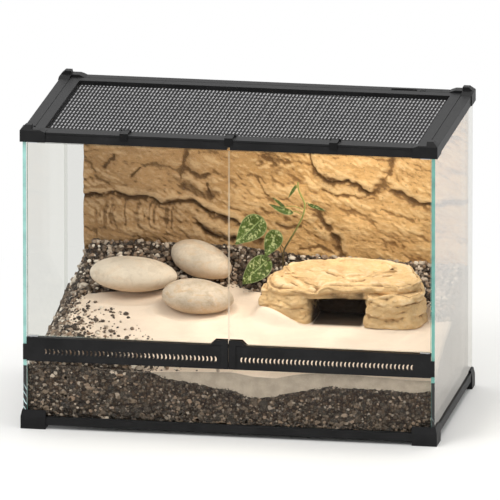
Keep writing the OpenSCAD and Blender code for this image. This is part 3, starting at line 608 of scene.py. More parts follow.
def stone_finish(colour):
    """Water-worn pale stone with warm stains, grey patches and hairline pits."""
    f = Finish("river stone")
    cloud = f.grain(15, 4, 0.55, warp=0.9)
    stain = f.grain(24, 5, 0.65, f.stretched(1, 1.4, 2.4), warp=1.1)
    pits = f.grain(650, 3, 0.7)
    veined = f.grain(30, 6, 0.7, f.stretched(1, 1, 1.8), warp=1.6)
    base = f.washed(
        f.varied(cloud.between(0.36, 0.62), colour, 0.84, 1.12),
        (stain.between(0.50, 0.66) * 0.55, (0.56, 0.36, 0.19)),
        (f.grain(34, 3).between(0.56, 0.72) * 0.40, (0.40, 0.35, 0.29)),
        (f.grain(70, 5, 0.75, warp=0.4).between(0.52, 0.64) * 0.45, (0.36, 0.28, 0.19)),
        (pits.between(0.56, 0.68) * 0.60, (0.28, 0.20, 0.13)),
        ((1 - abs(veined - 0.5).between(0.0, 0.02)) * 0.35, (0.42, 0.31, 0.20)),
        (f.tone("pale") * 0.45, (0.90, 0.80, 0.66)),
        (f.grain(48, 6, 0.8, warp=0.5).between(0.50, 0.60) * 0.22, (0.33, 0.25, 0.17)),
        (f.tone("low") * 0.6, (0.56, 0.36, 0.18)))
    return f.coated(base, 0.62 + 0.2 * pits, pits + cloud, 0.00055, 0.7)


def hide_finish(colour):
    """Cast sandstone: sandy yellow with brown washed into its layers, painted highlights on its crests, painted
    shade in its hollows and inside its cave.
    """
    f = Finish("cast sandstone")
    depth = f.tone("relief")
    bands = f.grain(24, 5, 0.68, f.stretched(0.5, 0.5, 3.4, (0.12, 0.06, 0)), warp=0.7)
    fine = f.grain(190, 5, 0.75)
    worn = f.grain(52, 5, 0.7, warp=0.5)
    base = f.washed(
        f.varied(f.grain(17, 4, 0.6, warp=0.6).between(0.36, 0.64), colour, 0.9, 1.16),
        (bands.between(0.52, 0.66) * 0.45, (0.46, 0.27, 0.115)),
        (worn.between(0.54, 0.68) * 0.30, (0.50, 0.33, 0.17)),
        # painted highlight on the crests
        (depth.between(0.58, 0.92) * 0.50, (0.80, 0.64, 0.43)),
        # painted shade in the hollows
        ((1 - depth.between(0.06, 0.47)) * 0.88, (0.235, 0.125, 0.052)),
        (fine.between(0.54, 0.70) * 0.30, (0.38, 0.24, 0.12)),
        # painted shade inside the cave
        (f.tone("cave"), (0.055, 0.032, 0.018)))
    return f.coated(base, 0.86, 1.2 * fine + 1.5 * bands + worn, 0.0016, 0.85)


def leaf_finish(colour):
    """Waxy leaf: dark green, pale silver splashes along its side veins, a light rim and midrib."""
    f = Finish("variegated leaf")
    across, rim, veins = f.tone("across"), f.tone("rim"), f.tone("vein")
    splash = f.grain(210, 3, 0.6, warp=0.8).between(0.53, 0.60)
    pale = splash * (0.35 + 0.65 * veins) * (1 - rim.between(0.80, 0.95))
    base = f.washed(
        f.varied(f.grain(90, 3).between(0.3, 0.7), colour, 1.0, 1.6),
        (pale * 0.88, (0.46, 0.49, 0.24)),
        (rim.between(0.90, 1.0) * 0.75, (0.38, 0.45, 0.20)),
        ((1 - across.between(0.02, 0.07)) * 0.7, (0.32, 0.40, 0.16)))
    return f.coated(base, 0.42 + 0.15 * splash, veins + 0.3 * f.grain(500, 2), 0.0004, 0.6,
                    Specular_IOR_Level=0.28)


def stem_finish():
    """Green stem that turns brown and scarred towards its foot."""
    f = Finish("stem")
    up = f.axis("Z").between(0.20, 0.28)
    scar = f.grain(260, 4, 0.7, f.stretched(1, 1, 0.4))
    base = f.blend(up, (0.075, 0.052, 0.020), (0.25, 0.27, 0.065))
    base = f.blend(scar.between(0.5, 0.75) * 0.4, base, (0.16, 0.11, 0.04))
    return f.coated(base, 0.5 + 0.2 * scar, scar, 0.0003, 0.6)


def floor_sheet_finish():
    """Matt black sheet of the tank's floor, with scuffs."""
    f = Finish("floor sheet")
    scuff = f.grain(35, 5, 0.7, warp=0.7).between(0.55, 0.75)
    base = f.blend(scuff * 0.4, (0.022, 0.022, 0.024), (0.07, 0.07, 0.072))
    return f.coated(base, 0.55 + 0.15 * scuff, f.grain(900), 0.00008, 0.5)


def foot_finish():
    """Dark moulded foot of the plant with soil rubbed into it."""
    f = Finish("plant foot")
    dirt = f.grain(120, 4, 0.7)
    base = f.blend(dirt.between(0.4, 0.65), (0.03, 0.022, 0.016), (0.12, 0.085, 0.055))
    return f.coated(base, 0.8, dirt, 0.001, 0.8)


# ---------------------------------------------------------------- shapes of the bed and the rock

# In millimetres: inner faces of the side, front and rear panes, end of the bank's profile, top of the floor
SIDE = 296.2
FRONT = -166.2
BACK = 166.2
BED_END = 140.8
FLOOR = 18

# Profile of the bank: share of the way back, share of the rise
BANK = ([0, 0.26, 0.41, 0.54, 0.70, 0.82, 0.91, 1], [0, 0.27, 0.38, 0.43, 0.52, 0.60, 0.76, 1])
# Where sand and soil meet the front pane: x and height
SAND_FRONT = ([-296, -150, -116, -62, 4, 36, 68, 99, 132, 177, 224, 259, 296],
              [95, 91.5, 90.5, 93, 95, 90, 89, 96, 100, 99, 97, 95, 95])
SOIL_FRONT = ([-296, -150, -116, -97, -78, -50, -15, 1, 24, 48, 83, 118, 148, 177, 224, 270, 296],
              [95, 91.8, 90, 84, 79, 76.6, 70, 70, 60.6, 58, 66, 74, 81, 79, 79, 76.5, 79.5])
# Shares of the loose pebbles
ON_GRAVEL = 0.58
ON_SAND = 0.10
GRAVEL_EDGE = 0.03
AT_FRONT = 0.26
AT_EACH_SIDE = 0.06
DARK_CRUMBS = 0.22
# In front of this line lies sand, behind it gravel: x and y
SAND_BACK = ([-296, -284, -272, -258, -246, -200, -140, -100, -60, -42, 5, 14, 140, 258, 266, 296],
             [-20, 0, 14, 30, 52, 64, 72, 80, 86, 94, 78, 70, 74, 74, 14, 10])
# Left of this line at the front lies gravel: y and x
GRAVEL_LEFT = ([-166, -140, -100, -75, -40, 0, 40, 170], [-118, -156, -218, -250, -268, -277, -290, -296])


def bank_z(x, y):
    """Height of the bank in millimetres, before pockets and ripples."""
    v = np.clip((y - FRONT) / (BED_END - FRONT), 0, 1.08)
    z = 92 + 105 * np.interp(v, *BANK)
    left = 90 + 32 * v * v
    z = z - np.maximum(0, z - left) * (1 - ease(0, 45, x + SIDE))
    near = 1 - ease(0, 70, y - FRONT)
    return z + near * (np.interp(x, *SAND_FRONT) - 92)


def gravel_share(x, y):
    """1 on gravel, 0 on sand, with a broken line between them."""
    wobble = 5 * layered(x / 26, y / 26, octaves=3, seed=5)
    behind = ease(-5, 5, y - np.interp(x, *SAND_BACK) + wobble)
    left = ease(-7, 7, np.interp(y, *GRAVEL_LEFT) - x + 1.6 * wobble)
    return np.maximum(behind, left)


STONES = {  # middle, half sizes, turn, tilt, as in the CAD, and the height where each is cut flat
    "stone_left": ((-184.2, 58, 176), (65, 42, 25), 3, 2, 153),
    "stone_rear": ((-90.2, 106, 190), (51, 32, 26), -24, 14, 168),
    "stone_front": ((-80.2, 8, 160), (54, 39, 25), -4, 3, 138),
}
HIDE_MID = (138.2, 18.75)
HIDE_SIZE = (246, 118)


# Cracks in the rock wall: points in x and z, half width, depth
CRACKS = [
    ([(-272, 268), (-219, 269), (-202, 266), (-165, 262), (-151, 257), (-132, 263), (-111, 265), (-91, 254),
      (-58, 243), (-41, 237), (-24, 226), (-4, 221)], 3.6, 7.5),
    ([(-120, 289), (-103, 279), (-80, 272)], 7, 5),
    ([(-122, 345), (-122, 329), (-125, 312), (-130, 295)], 5.5, 3),
    ([(-116, 308), (-99, 302), (-85, 308)], 3, 4),
    ([(-89, 299), (-83, 276)], 2.4, 4),
    ([(-99, 229), (-87, 217), (-72, 211), (-41, 208), (-10, 207)], 5, 7),
    ([(-225, 324), (-235, 313)], 2.4, 4),
    ([(-184, 311), (-200, 300)], 2, 3),
    ([(67, 356), (67, 322), (77, 312), (92, 306), (114, 302), (131, 297), (149, 288), (162, 288)], 3.4, 7.5),
    ([(188, 290), (207, 283), (222, 276), (240, 274), (262, 277), (297, 281)], 4.4, 6),
    ([(83, 289), (98, 282), (122, 280), (141, 279), (160, 279)], 2, 3.5),
    ([(77, 258), (81, 247), (90, 233), (98, 221), (104, 206), (108, 196)], 6.5, 6),
    ([(-16, 304), (5, 275)], 1.5, 2.5),
    ([(-5, 332), (13, 326), (32, 328)], 8, 5),
    ([(15, 234), (32, 231), (48, 231)], 2.5, 3.5),
    ([(48, 197), (77, 201), (96, 194)], 2.6, 3.5),
    ([(-240, 376), (-170, 384), (-70, 368), (10, 388)], 3.5, 6),
    ([(66, 356), (120, 374), (200, 362), (284, 378)], 3.5, 6),
    ([(162, 288), (174, 300), (184, 319), (183, 350)], 6, 4),
]
LEDGES = [0, 5, 8, 9, 16, 17]   # cracks below which the rock falls back


def wall_shape(x, z):
    """Thickness of the rock wall in mm, the painted shade in its cracks, and the painted shade under its
    ledges, in its grooves and beside its cracks, at x and z in mm.
    """
    wx = x + 6 * layered(x / 34, z / 34, octaves=3, seed=21) + 2.2 * layered(x / 8, z / 8, octaves=2, seed=22)
    wz = z + 5 * layered(x / 30, z / 30, octaves=3, seed=33) + 2.2 * layered(x / 8, z / 7, octaves=2, seed=34)
    # broad beds and chipped blocks
    tilt = wz + 0.14 * wx
    thick = 9.5 + 2.5 * layered(wx / 130, wz / 90, octaves=2, seed=3)
    thick = thick + 7.6 * chips(wx / 78, tilt / 36, seed=5) + 3.8 * chips(wx / 36, tilt / 15, seed=8)
    # fine slanting layers, weaker in calm patches
    calm = ease(-0.35, 0.45, layered(x / 60, z / 40, octaves=2, seed=61))
    slant = z + 0.55 * x
    thick = thick + (2.2 - 1.5 * calm) * chips(wx / 13, (wz + 0.5 * wx) / 5.5, seed=13, lean=0.9)
    thick = thick + (1.3 - 0.6 * calm) * layered((x - 0.5 * z) / 9, slant / 3.6, octaves=2, seed=40)
    # a patch of upright combed grooves at the left
    grooves = window(-262, -240, -140, -115, x) * window(212, 232, 252, 264, z)
    comb = ease(0.05, 0.6, noise(wx / 3.0, wz / 34, seed=44))
    thick = thick - grooves * 1.6 * comb
    dark = np.zeros_like(x)
    # painted shade in the combed grooves
    under = 0.55 * grooves * comb
    for k, (route, half, depth) in enumerate(CRACKS):
        near = distance_to(route, wx, wz)
        swell = layered(x / 20, z / 12, octaves=3, seed=50 + k)
        ragged = layered(x / 7, z / 5, octaves=3, seed=80 + k)
        width = half * np.clip(0.85 + 1.2 * swell + 0.7 * ragged, 0.15, 1.9)
        cut = np.exp(-(near / width) ** 2)
        thick = thick - depth * cut - 1.5 * np.exp(-(near / (3 * half)) ** 2)
        strength = np.clip(0.72 + 1.1 * swell + 0.5 * ragged, 0.12, 1) * min(1, depth / 7)
        # painted shade darkening the cores of the cracks
        dark = np.maximum(dark, np.clip(cut * 1.3 - 0.35, 0, 1) * strength)
        # painted shade beside the cracks
        under = np.maximum(under, 0.42 * np.exp(-(near / (2.4 * half)) ** 2) * strength)
        if k in LEDGES:
            xs, zs = [p[0] for p in route], [p[1] for p in route]
            above = wz - np.interp(wx, xs, zs)
            inside = window(xs[0] - 8, xs[0] + 8, xs[-1] - 8, xs[-1] + 8, wx)
            thick = thick + inside * (4.2 * np.exp(-np.abs(above - 7) / 15) * (above > 0)
                                      - 3.2 * np.exp(-np.abs(above + 5) / 13) * (above < 0))
            # painted shadow below each ledge, fading downward
            shaded = (above < 0) * np.exp(above / 10) * np.clip(0.62 + 0.7 * ragged, 0, 1)
            under = np.maximum(under, inside * shaded)
    thinnest, flattened, thickest = 2.5, 17, 22.0
    thick = np.where(thick > flattened, flattened + (thick - flattened) * 0.45, thick)
    return np.clip(thick, thinnest, thickest), dark, under


# ---------------------------------------------------------------- operators

class Maker(bpy.types.Operator):
    """Shared settings of every step."""
    bl_options = {"REGISTER", "UNDO"}

    @property
    def tank(self):
        return bpy.context.scene.terrarium_tank

    @property
    def bed(self):
        return bpy.context.scene.terrarium_bed


class TERRARIUM_OT_stage(Maker):
    """Pale floor, soft studio light and the camera"""
    bl_idname = "terrarium.stage"
    bl_label = "Stage"

    MIDDLE = (0, 0, 0.22)

    def execute(self, context):
        self.add_floor()
        self.add_light()
        self.add_camera()
        return {"FINISHED"}

    def add_floor(self):
        f = Finish("studio floor")
        across, deep = f.axis("X") - 0.22, f.axis("Y") * 0.9
        near = 1 - ((across * across + deep * deep) ** 0.5).between(0.40, 1.00)
        speck = f.grain(900, 2)
        matt = f.surface(Base_Color=f.blend(speck * 0.1, (0.92, 0.92, 0.905), (0.88, 0.88, 0.865)),
                         Roughness=0.7 + 0.1 * speck, Specular_IOR_Level=0.2)
        rays = f.node("ShaderNodeLightPath").outputs
        seen = Val(f, rays["Is Camera Ray"])
        for kind in ("Glossy", "Transmission"):
            seen = seen + Val(f, rays[f"Is {kind} Ray"])
        white = f.node("ShaderNodeEmission", None, {"Color": (1, 1, 1), "Strength": 1.0}).outputs[0]
        share = (1 - near) * seen.between(0, 1, smooth=False)
        half = 6.0   # the floor is 12 m square
        corners = [(-half, -half, 0), (half, -half, 0), (half, half, 0), (-half, half, 0)]
        mesh = bpy.data.meshes.new("studio_floor")
        mesh.from_pydata(corners, [], [(0, 1, 2, 3)])
        mesh.materials.append(f.done(f.mixed(share, matt, white)))
        floor = bpy.data.objects.new("studio_floor", mesh)
        bpy.context.scene.collection.objects.link(floor)

    def add_light(self):
        scene = bpy.context.scene
        world = bpy.data.worlds.new("studio")
        world.use_nodes = True
        scene.world = world
        nodes, links = world.node_tree.nodes, world.node_tree.links
        back = nodes["Background"]
        rays = nodes.new("ShaderNodeLightPath")
        seen = rays.outputs["Is Camera Ray"]
        for ray in ("Is Transmission Ray", "Is Glossy Ray"):
            largest = nodes.new("ShaderNodeMath")
            largest.operation = "MAXIMUM"
            links.new(seen, largest.inputs[0])
            links.new(rays.outputs[ray], largest.inputs[1])
            seen = largest.outputs[0]
        level = nodes.new("ShaderNodeMapRange")
        level.inputs["To Min"].default_value = 0.84
        level.inputs["To Max"].default_value = 1.0
        links.new(seen, level.inputs["Value"])
        links.new(level.outputs["Result"], back.inputs["Strength"])
        back.inputs["Color"].default_value = (1, 1, 1, 1)
        for name, place, size, power, colour, hidden in (
                ("key_light", (-0.9, -1.5, 2.3), (1.1, 1.1), 22, (1, 0.985, 0.96), False),
                ("top_light", (0.35, 0.10, 1.9), (0.9, 0.9), 9, (1, 0.97, 0.92), False),
                ("basking_light", (0.08, -0.06, 0.405), (0.38, 0.10), 0.95, (1, 0.925, 0.82), True)):
            lamp = bpy.data.lights.new(name, "AREA")
            lamp.shape = "RECTANGLE"
            lamp.size, lamp.size_y, lamp.energy, lamp.color = *size, power, colour
            holder = bpy.data.objects.new(name, lamp)
            holder.location = place
            scene.collection.objects.link(holder)
            self.point_at(holder, (0.02, 0.05, 0.17) if hidden else self.MIDDLE)
            if hidden:
                holder.visible_camera = holder.visible_glossy = holder.visible_transmission = False

    def point_at(self, holder, target):
        """Turns a lamp or camera so that it looks at a point."""
        way = Vector(target) - holder.location
        holder.rotation_euler = way.to_track_quat("-Z", "Y").to_euler()

    def add_camera(self):
        turn, rise = math.radians(9.67), math.radians(14.66)
        pixels_per_metre, seen_width = 690, 0.7246
        lens, sensor = 1500, 36
        away = np.array((math.sin(turn) * math.cos(rise), -math.cos(turn) * math.cos(rise), math.sin(rise)))
        right = np.array((math.cos(turn), math.sin(turn), 0))
        up = np.cross(away, right)
        target = np.array(self.MIDDLE) + (right * 1.4 + up * 10) / pixels_per_metre
        distance = seen_width * lens / sensor
        data = bpy.data.cameras.new("photo_camera")
        data.lens, data.sensor_width, data.clip_end = lens, sensor, 200
        holder = bpy.data.objects.new("photo_camera", data)
        holder.location = target + away * distance
        bpy.context.scene.collection.objects.link(holder)
        self.point_at(holder, target)
        bpy.context.scene.camera = holder
        bpy.context.scene.view_settings.view_transform = "Standard"


class TERRARIUM_OT_frame(Maker):
    """Black mouldings: feet, rails, corner blocks, air bar, lid frame, clips and pulls"""
    bl_idname = "terrarium.frame"
    bl_label = "Frame"

    def execute(self, context):
        colour = tuple(self.tank.frame_colour)
        finish, darker = frame_finish(colour), frame_finish(toned(colour, 0.45))
        for node in FRAME_NODES:
            dress(node, darker if node.startswith("lid_clip") else finish)
            if not node.startswith("air_bar"):
                soften(node, 0.0005)
        dress("floor_panel", floor_sheet_finish())
        return {"FINISHED"}


class TERRARIUM_OT_glass(Maker):
    """Fixed panes and doors with green cut edges"""
    bl_idname = "terrarium.glass"
    bl_label = "Glass"

    def execute(self, context):
        edge = tuple(self.tank.edge_colour)
        front = glass_finish(edge, "front glass", "Y", 0.7)
        # the left pane's cut edges are painted a paler green: painted light on them
        paler_lit_edge = (edge[0] * 2.0, edge[1] * 1.45, edge[2] * 1.55)
        others = {
            "pane_rear": glass_finish(edge, "rear glass", "Y", 0.7, clearness=0.88, edge_share=0.04),
            "pane_left": glass_finish(paler_lit_edge, "left glass", "X", 0.10, side=True),
            "pane_right": glass_finish(edge, "right glass", "X", 0.90, shine=(1.0, 0.95, 0.895), side=True)}
        for node in PANE_NODES:
            dress(node, others.get(node, front))
        return {"FINISHED"}


class TERRARIUM_OT_metal(Maker):
    """Steel pivots, clip pins and strike plates, and the plated magnets"""
    bl_idname = "terrarium.metal"
    bl_label = "Metal parts"

    def execute(self, context):
        steel = steel_finish("plain steel", (0.60, 0.61, 0.63))
        for node in STEEL_NODES:
            dress(node, steel)
        dress("catch_magnets", steel_finish("nickel plating", (0.74, 0.73, 0.70)))
        return {"FINISHED"}


class TERRARIUM_OT_net(Maker):
    """Fine wire mesh in the lid, in place of the CAD's coarse net"""
    bl_idname = "terrarium.net"
    bl_label = "Lid mesh"

    def execute(self, context):
        low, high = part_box("lid_mesh")
        pitch = self.tank.wire_pitch
        half = pitch * 0.24   # half a wire's width
        ring = [(-half, 0), (0, half), (half, 0), (0, -half)]
        points, faces = [], []
        for axis in (0, 1):
            # the wires along X lie above those along Y and dip into them
            height = (low[2] + high[2]) / 2 + half * (0.7 if axis else -0.7)
            for k in range(int((high[axis] - low[axis]) / pitch)):
                at = low[axis] + (k + 0.5) * pitch
                start = len(points)
                for end in (low[1 - axis], high[1 - axis]):
                    for side, up in ring:
                        spot = [0.0, 0.0, height + up]
                        spot[axis], spot[1 - axis] = at + side, end
                        points.append(spot)
                faces += [[start + c, start + d, start + 4 + d, start + 4 + c]
                          for c, d in ((0, 1), (1, 2), (2, 3), (3, 0))]
        add_piece("woven_net", points, faces, wire_finish(), body="lid",
                  stands_for=["lid_mesh"])
        return {"FINISHED"}


class TERRARIUM_OT_wall(Maker):
    """Rock wall with its layers, ledges and cracks"""
    bl_idname = "terrarium.wall"
    bl_label = "Rock wall"

    def execute(self, context):
        low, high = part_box("rock_wall")
        step = 0.0019
        nx, nz = int((high[0] - low[0]) / step), int((high[2] - low[2]) / step)
        x, z = np.meshgrid(np.linspace(low[0], high[0], nx) / MM, np.linspace(low[2], high[2], nz) / MM,
                           indexing="ij")
        thick, dark, under = wall_shape(x, z)
        back = high[1] / MM
        front = np.stack([x, back - thick, z], -1) * MM
        rear = np.stack([x, np.full_like(x, back), z], -1) * MM
        points, faces = slab(rear, front)
        reach = 5
        # relief is pale on the crests and dark in the hollows, for painted highlights and painted shade
        relief = np.clip(0.5 + (thick - blurred(thick, reach)) / 7 + (thick - blurred(thick, 1)) / 3, 0, 1)
        # the rear face is bare foam and comes first
        tones = {key: np.concatenate([np.full(x.size, at_rear), values.ravel()]) for key, at_rear, values in (
            ("relief", 0.5, relief), ("crack", 0, dark), ("under", 0, under), ("bare", 1, np.zeros(x.size)))}
        finish = wall_finish(tuple(self.bed.wall_left), tuple(self.bed.wall_right_lit))
        add_piece("rock_relief", points, faces, finish, stands_for=["rock_wall"], tones=tones)
        return {"FINISHED"}


class TERRARIUM_OT_bed(Maker):
    """Soil block, sand and loose pebbles"""
    bl_idname = "terrarium.bed"
    bl_label = "Bed"

    def heights(self, x, y):
        """Tops of the soil and of the sand, in millimetres."""
        gravel = gravel_share(x, y)
        z = bank_z(x, y)
        # a pocket with a low rim for each stone
        for (mx, my, _), (a, b, _), turn, _, cut in STONES.values():
            u, v = rotated(x - mx, y - my, -math.radians(turn))
            r = np.hypot(u / (a * 1.05), v / (b * 1.08))
            z = z - (1 - ease(0.80, 1.18, r)) * np.maximum(0, z - (cut + 5))
            z = z + 1.5 * np.exp(-((r - 1.12) / 0.10) ** 2)
        # the hide's footprint, a box with rounded corners
        u, v = (np.abs(p - mid) / (size / 2) for p, mid, size in zip((x, y), HIDE_MID, HIDE_SIZE))
        r = (u ** 5 + v ** 5) ** 0.2
        under_hide = 135.2 + 16 * (1 - ease(36, 92, x))   # level, but banked up at its left end
        z = z + (under_hide - z) * (1 - ease(0.96, 1.10, r))
        # a hollow behind the hide and a low mound at its left
        z = z - (10.5 + 4 * ease(100, 250, x)) * ease(-50, 60, x) * ease(84, 140, y)
        z = z + 5.5 * np.exp(-((x - 22) / 52) ** 2 - ((y + 14) / 42) ** 2)
        ripple = 3.3 * layered(x / 95 + y / 120, y / 50, octaves=3, seed=71)
        inland, far = ease(0, 30, y - FRONT), ease(60, 200, y - FRONT)
        sand = z + ripple * inland
        # depth of the sand over the soil: as seen at the front pane, thin further back
        depth = (np.interp(x, *SAND_FRONT) - np.interp(x, *SOIL_FRONT)) * (1 - far) + 6 * far
        rough = 1.4 * layered(x / 9, y / 9, octaves=3, seed=81)
        soil = z - np.maximum(depth, 2.5) * (1 - gravel) + gravel * (1.5 + rough) * inland
        sand = sand - gravel * 5 * (0.2 + 0.8 * inland)
        sand = np.maximum(sand, soil - 6)
        return soil, sand

    def execute(self, context):
        step = 2.6
        nx, ny = int(2 * (SIDE - 0.4) / step), int((BACK - FRONT - 0.6) / step)
        x, y = np.meshgrid(np.linspace(-SIDE + 0.3, SIDE - 0.3, nx), np.linspace(FRONT + 0.5, BACK - 0.5, ny),
                           indexing="ij")
        soil, sand = self.heights(x, y)
        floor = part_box("soil_bed")[0][2] / MM
        top = np.stack([x, y, soil], -1) * MM
        bottom = np.stack([x, y, np.full_like(x, floor)], -1) * MM
        points, faces = slab(top, bottom)
        add_piece("soil_block", points, faces, soil_finish(), stands_for=["soil_bed"])

        show = sand > soil - 4.5   # deeper down, no sand shows through the gravel
        along = x[:, 0]
        front_low = (np.interp(along, *SOIL_FRONT) + 1.5 * layered(along / 11, 0.0, octaves=2, seed=91)
                     + 1.3 * noise(along / 3.1, 0.0, seed=92))
        base = np.minimum(soil, sand) - 1.0
        base[:, 0] = np.minimum(front_low, sand[:, 0] - 0.1)
        ys = y.copy()
        ys[:, 0] = FRONT + 0.15
        top = np.stack([x, ys, sand], -1) * MM
        bottom = np.stack([x, ys, base], -1) * MM
        points, faces = slab(top, bottom)
        # pressed marks the sand against the front pane, which gets painted shade
        pressed = np.concatenate([np.zeros(x.size), np.ones(x.size)])
        in_cave = window(94, 100, 168, 173, x) * window(-34, -20, 60, 70, y)
        keep = [face for face in faces if any(show.ravel()[i % x.size] for i in face)]
        finish = sand_finish(tuple(self.bed.sand_colour))
        add_piece("sand_cover", points, keep, finish, stands_for=["sand_layer"],
                  tones={"pressed": pressed, "shade": np.concatenate([in_cave.ravel()] * 2)})
        self.add_front_face(along, sand[:, 0], base[:, 0], finish)
        self.add_pebbles(x, y, np.maximum(soil, sand), soil)
        return {"FINISHED"}

    def add_front_face(self, x, high, low, finish):
        """The sand that is pressed against the front pane."""
        rows = 7
        across, t = np.meshgrid(x, np.linspace(0, 1, rows), indexing="ij")
        z = high[:, None] * (1 - t) + low[:, None] * t
        points = np.stack([across, np.full_like(z, FRONT + 0.12), z], -1) * MM
        show = np.repeat(high - low > 0.4, rows)
        faces = [face for face in grid_faces(len(x), rows, flip=True) if all(show[i] for i in face)]
        # the face lies wholly against the pane, so it has the painted shade all over
        add_piece("sand_face", points.reshape(-1, 3), faces, finish,
                  tones={"pressed": np.ones(len(show)), "shade": np.zeros(len(show))})

    def add_pebbles(self, x, y, bed_top, soil):
        """Loose pebbles: on the gravel, thinly on the sand's left rim, and along the panes."""
        rng = np.random.default_rng(7)
        total = self.bed.pebbles // 1

        def nearest(at, line):
            """Which point of an even line lies nearest."""
            share = (at - line[0]) / (line[-1] - line[0])
            return np.rint(share * (len(line) - 1)).astype(int).clip(0, len(line) - 1)

        def laid(px, py, size):
            """Pebbles at px and py, sunk a little into the top of the bed."""
            height = bed_top[nearest(px, x[:, 0]), nearest(py, y[0])]
            return np.stack([px, py, height + size * 0.25, size], -1)

        tries = 40000
        px = rng.uniform(-SIDE + 3, SIDE - 3, tries)
        py = rng.uniform(FRONT + 3, BACK - 12, tries)
        keep = rng.random(tries) < gravel_share(px, py)
        n = int(total * ON_GRAVEL)
        px, py = px[keep][:n], py[keep][:n]
        spots = [laid(px, py, np.clip(rng.lognormal(0.90, 0.38, len(px)), 1.3, 5.2))]
        # strays on the sand, thinning out away from the gravel
        n = int(total * ON_SAND)
        py = rng.uniform(-164, 45, n)
        px = np.interp(py, *GRAVEL_LEFT) + rng.exponential(30, n).clip(0, 105) * (1 - ease(-40, 60, py) * 0.75)
        spots.append(laid(px, py, np.clip(rng.lognormal(0.45, 0.45, n), 0.7, 4.0)))
        n = int(total * GRAVEL_EDGE)
        px = rng.uniform(-60, SIDE - 5, n)
        py = np.interp(px, *SAND_BACK) - rng.exponential(5, n)
        spots.append(laid(px, py, np.clip(rng.lognormal(0.4, 0.4, n), 0.7, 3.0)))
        on_top = sum(len(s) for s in spots)
        # pressed against the front pane, coarser near the floor
        n = int(total * AT_FRONT)
        fx = rng.uniform(-SIDE + 3, SIDE - 3, n)
        low = FLOOR + 1
        fz = low + (np.interp(fx, *SOIL_FRONT) - FLOOR) * rng.random(n) ** (1.0 + 0.7 * ease(-150, -20, fx))
        deep = 1 - (fz - low) / 75
        left = 1 - ease(-170, -70, fx)
        size = np.clip(rng.lognormal(0.52, 0.5, n) * (0.7 + 1.05 * np.maximum(deep, left)), 0.7, 6.0)
        spots.append(np.stack([fx, FRONT + 0.4 + size * 0.55, fz - size * 0.3, size], -1))
        for side in (-1, 1):
            n = int(total * AT_EACH_SIDE)
            sy = rng.uniform(FRONT + 3, BACK - 3, n)
            edge = soil[0 if side < 0 else -1]
            sz = low + (np.interp(sy, y[0], edge) - low) * rng.random(n)
            size = np.clip(rng.lognormal(0.7, 0.35, n), 0.9, 4.6)
            sx = side * (SIDE - 0.2 - size * 0.55)
            spots.append(np.stack([sx, sy, sz - size * 0.3, size], -1))
        # dark crumbs that fray the soil's upper line
        crumbs = int(total * DARK_CRUMBS)
        fx = rng.uniform(-SIDE + 3, SIDE - 3, crumbs)
        fz = np.interp(fx, *SOIL_FRONT) + 1.2 - rng.exponential(5.5, crumbs).clip(0, 30)
        size = np.clip(rng.lognormal(0.05, 0.35, crumbs), 0.5, 2.2)
        spots.append(np.stack([fx, FRONT + 0.3 + size * 0.5, fz, size], -1))
        points, faces, tones = self.pebble_mesh(np.concatenate(spots), on_top, crumbs, rng)
        add_piece("loose_pebbles", points, faces, pebble_finish(), tones={"tone": tones})

    def pebble_mesh(self, spots, on_top, crumbs, rng):
        """One mesh of many small rounded pebbles: the first on_top are paler, the last crumbs are dark."""
        g = (1 + 5 ** 0.5) / 2   # an icosahedron's corners are those of three golden rectangles
        corner = np.array([(-1, g, 0), (1, g, 0), (-1, -g, 0), (1, -g, 0), (0, -1, g), (0, 1, g),
                           (0, -1, -g), (0, 1, -g), (g, 0, -1), (g, 0, 1), (-g, 0, -1), (-g, 0, 1)])
        corner /= np.linalg.norm(corner[0])
        tri = [(0, 11, 5), (0, 5, 1), (0, 1, 7), (0, 7, 10), (0, 10, 11), (1, 5, 9), (5, 11, 4),
               (11, 10, 2), (10, 7, 6), (7, 1, 8), (3, 9, 4), (3, 4, 2), (3, 2, 6), (3, 6, 8), (3, 8, 9),
               (4, 9, 5), (2, 4, 11), (6, 2, 10), (8, 6, 7), (9, 8, 1)]
        ball, middle, faces = [tuple(c) for c in corner], {}, []
        for a, b, c in tri:
            mids = []
            for p, q in ((a, b), (b, c), (c, a)):
                key = (min(p, q), max(p, q))
                if key not in middle:
                    mid = (corner[p] + corner[q]) / 2
                    middle[key] = len(ball)
                    ball.append(tuple(mid / np.linalg.norm(mid)))
                mids.append(middle[key])
            faces += [(a, mids[0], mids[2]), (b, mids[1], mids[0]), (c, mids[2], mids[1]), tuple(mids)]
        ball = np.array(ball)
        n = len(spots)
        scale = rng.uniform(0.65, 1.15, (n, 1, 3))
        scale[:, :, 2] *= 0.82
        lump = 1 + 0.13 * rng.standard_normal((n, len(ball), 1)).clip(-2, 2)
        shape = ball[None] * lump * scale
        turn = rng.uniform(0, 2 * math.pi, (n, 1))
        lean = rng.uniform(-0.5, 0.5, (n, 1))
        sx, sy, sz = np.moveaxis(shape, -1, 0)
        sx, sz = rotated(sx, sz, -lean)
        sx, sy = rotated(sx, sy, turn)
        spread = spots[:, None, :3] + np.stack([sx, sy, sz], -1) * spots[:, 3, None, None]
        spread = spread.clip((-SIDE + 0.1, FRONT + 0.1, FLOOR - 0.1), (SIDE - 0.1, BACK - 0.5, np.inf))
        all_faces = (np.array(faces)[None] + (np.arange(n) * len(ball))[:, None, None]).reshape(-1, 3).tolist()
        tones = rng.random(n) ** np.where(np.arange(n) < on_top, 0.86, 1.70)
        tones = np.where(np.arange(n) < on_top, tones, tones * (0.80 + 0.10 * (spots[:, 0] < -120)))
        tones[n - crumbs:] *= 0.42
        tones = np.repeat(tones, len(ball))
        return spread.reshape(-1, 3) * MM, all_faces, tones


